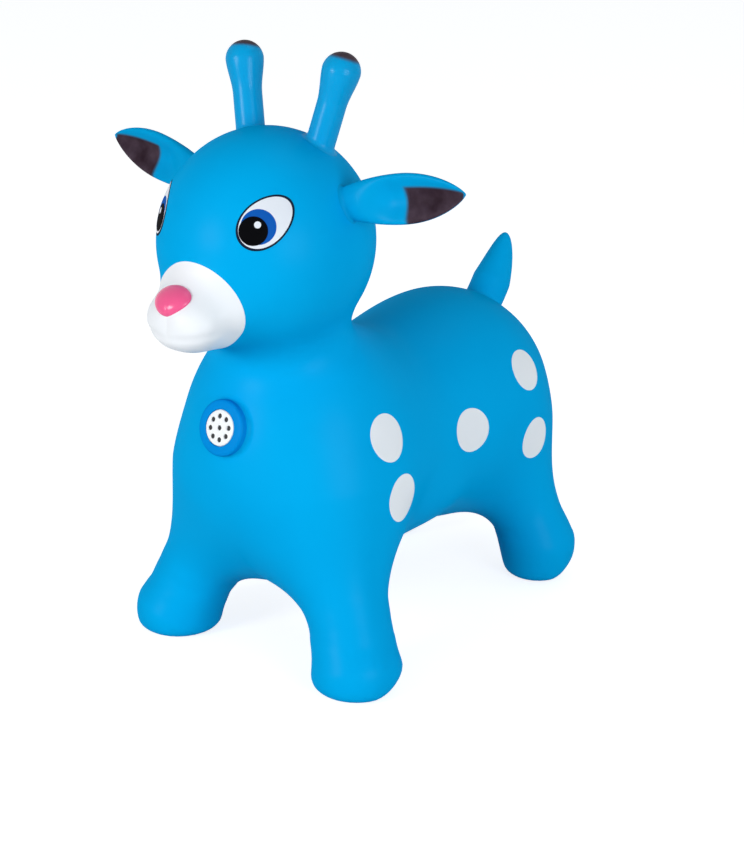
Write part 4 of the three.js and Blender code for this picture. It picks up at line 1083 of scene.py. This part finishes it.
# World: light from the sides more than from above, and white where the backdrop is seen
SKY_LOW = 0.78
SKY_HIGH = 0.12
SKY_TINT = (0.86, 0.94, 1)
WHITE = (1, 1, 1)
world = bpy.data.worlds.new("studio")
bpy.context.scene.world = world
world.use_nodes = True
sky_nodes, sky_links = world.node_tree.nodes, world.node_tree.links
sky = sky_nodes["Background"]
heading = sky_nodes.new("ShaderNodeTexCoord")
parts = sky_nodes.new("ShaderNodeSeparateXYZ")
sky_links.new(heading.outputs["Generated"], parts.inputs["Vector"])
height = sky_nodes.new("ShaderNodeMapRange")
height.inputs["To Min"].default_value = SKY_LOW
height.inputs["To Max"].default_value = SKY_HIGH
sky_links.new(parts.outputs["Z"], height.inputs["Value"])
strength = sky_nodes.new("ShaderNodeMapRange")
strength.inputs["To Max"].default_value = 1.0
sky_links.new(height.outputs["Result"], strength.inputs["To Min"])
seen = backdrop_rays(sky_nodes, sky_links)
sky_links.new(seen, strength.inputs["Value"])
sky_links.new(mixed(sky_nodes, sky_links, seen, SKY_TINT, WHITE), sky.inputs["Color"])
sky_links.new(strength.outputs["Result"], sky.inputs["Strength"])


# Matrix of a thing with these axes at this position in metres
def pose_matrix(x, y, z, position):
    return Matrix([[x[i], y[i], z[i], position[i]] for i in range(3)] + [[0, 0, 0, 1]])


# Lamps: position and target in metres
def area_light(name, position, target, size, energy, colour=WHITE):
    lamp = bpy.data.lights.new(name, "AREA")
    lamp.shape = "DISK"
    lamp.size = size
    lamp.energy = energy
    lamp.color = colour
    thing = bpy.data.objects.new(name, lamp)
    z = np.array(position, float) - np.array(target, float)
    z = z / np.linalg.norm(z)
    x = np.cross((0, 0, 1.0), z)
    x = x / np.linalg.norm(x)
    thing.matrix_world = pose_matrix(x, np.cross(z, x), z, position)
    bpy.context.scene.collection.objects.link(thing)


area_light("key", (-0.66, -2.58, 0.84), (0, 0, 0.22), size=1.0, energy=37)
area_light("fill", (2.5, -0.9, 0.6), (0, 0, 0.22), size=1.4, energy=34.5, colour=(0.9, 0.96, 1))
area_light("top", (0.3, 0.9, 2.7), (0, 0, 0.2), size=1.8, energy=8)

# Camera fitted to the photo: its target and distance, and its focal length and centre in pixels
AZIMUTH = math.radians(38.05)
ELEVATION = math.radians(16.9)
TARGET = np.array((0, 19.0, 250.0))
DISTANCE = 1670
FOCAL_PIXELS = 1970
SENSOR = 36
IMAGE = (744, 852)
CENTRE_PIXEL = (367, 329)
right = np.array((math.cos(AZIMUTH), math.sin(AZIMUTH), 0))
level = math.cos(ELEVATION)
ahead = np.array((-math.sin(AZIMUTH) * level, math.cos(AZIMUTH) * level, -math.sin(ELEVATION)))
upward = np.cross(right, ahead)
eye = (TARGET - DISTANCE * ahead) * MM
lens = bpy.data.cameras.new("camera")
lens.sensor_width = SENSOR
lens.lens = FOCAL_PIXELS * SENSOR / max(IMAGE)
lens.shift_x = (IMAGE[0] / 2 - CENTRE_PIXEL[0]) / max(IMAGE)
lens.shift_y = -(IMAGE[1] / 2 - CENTRE_PIXEL[1]) / max(IMAGE)
camera = bpy.data.objects.new("camera", lens)
camera.matrix_world = pose_matrix(right, upward, -ahead, eye)
bpy.context.scene.collection.objects.link(camera)
bpy.context.scene.camera = camera
bpy.context.scene.view_settings.view_transform = "Standard"
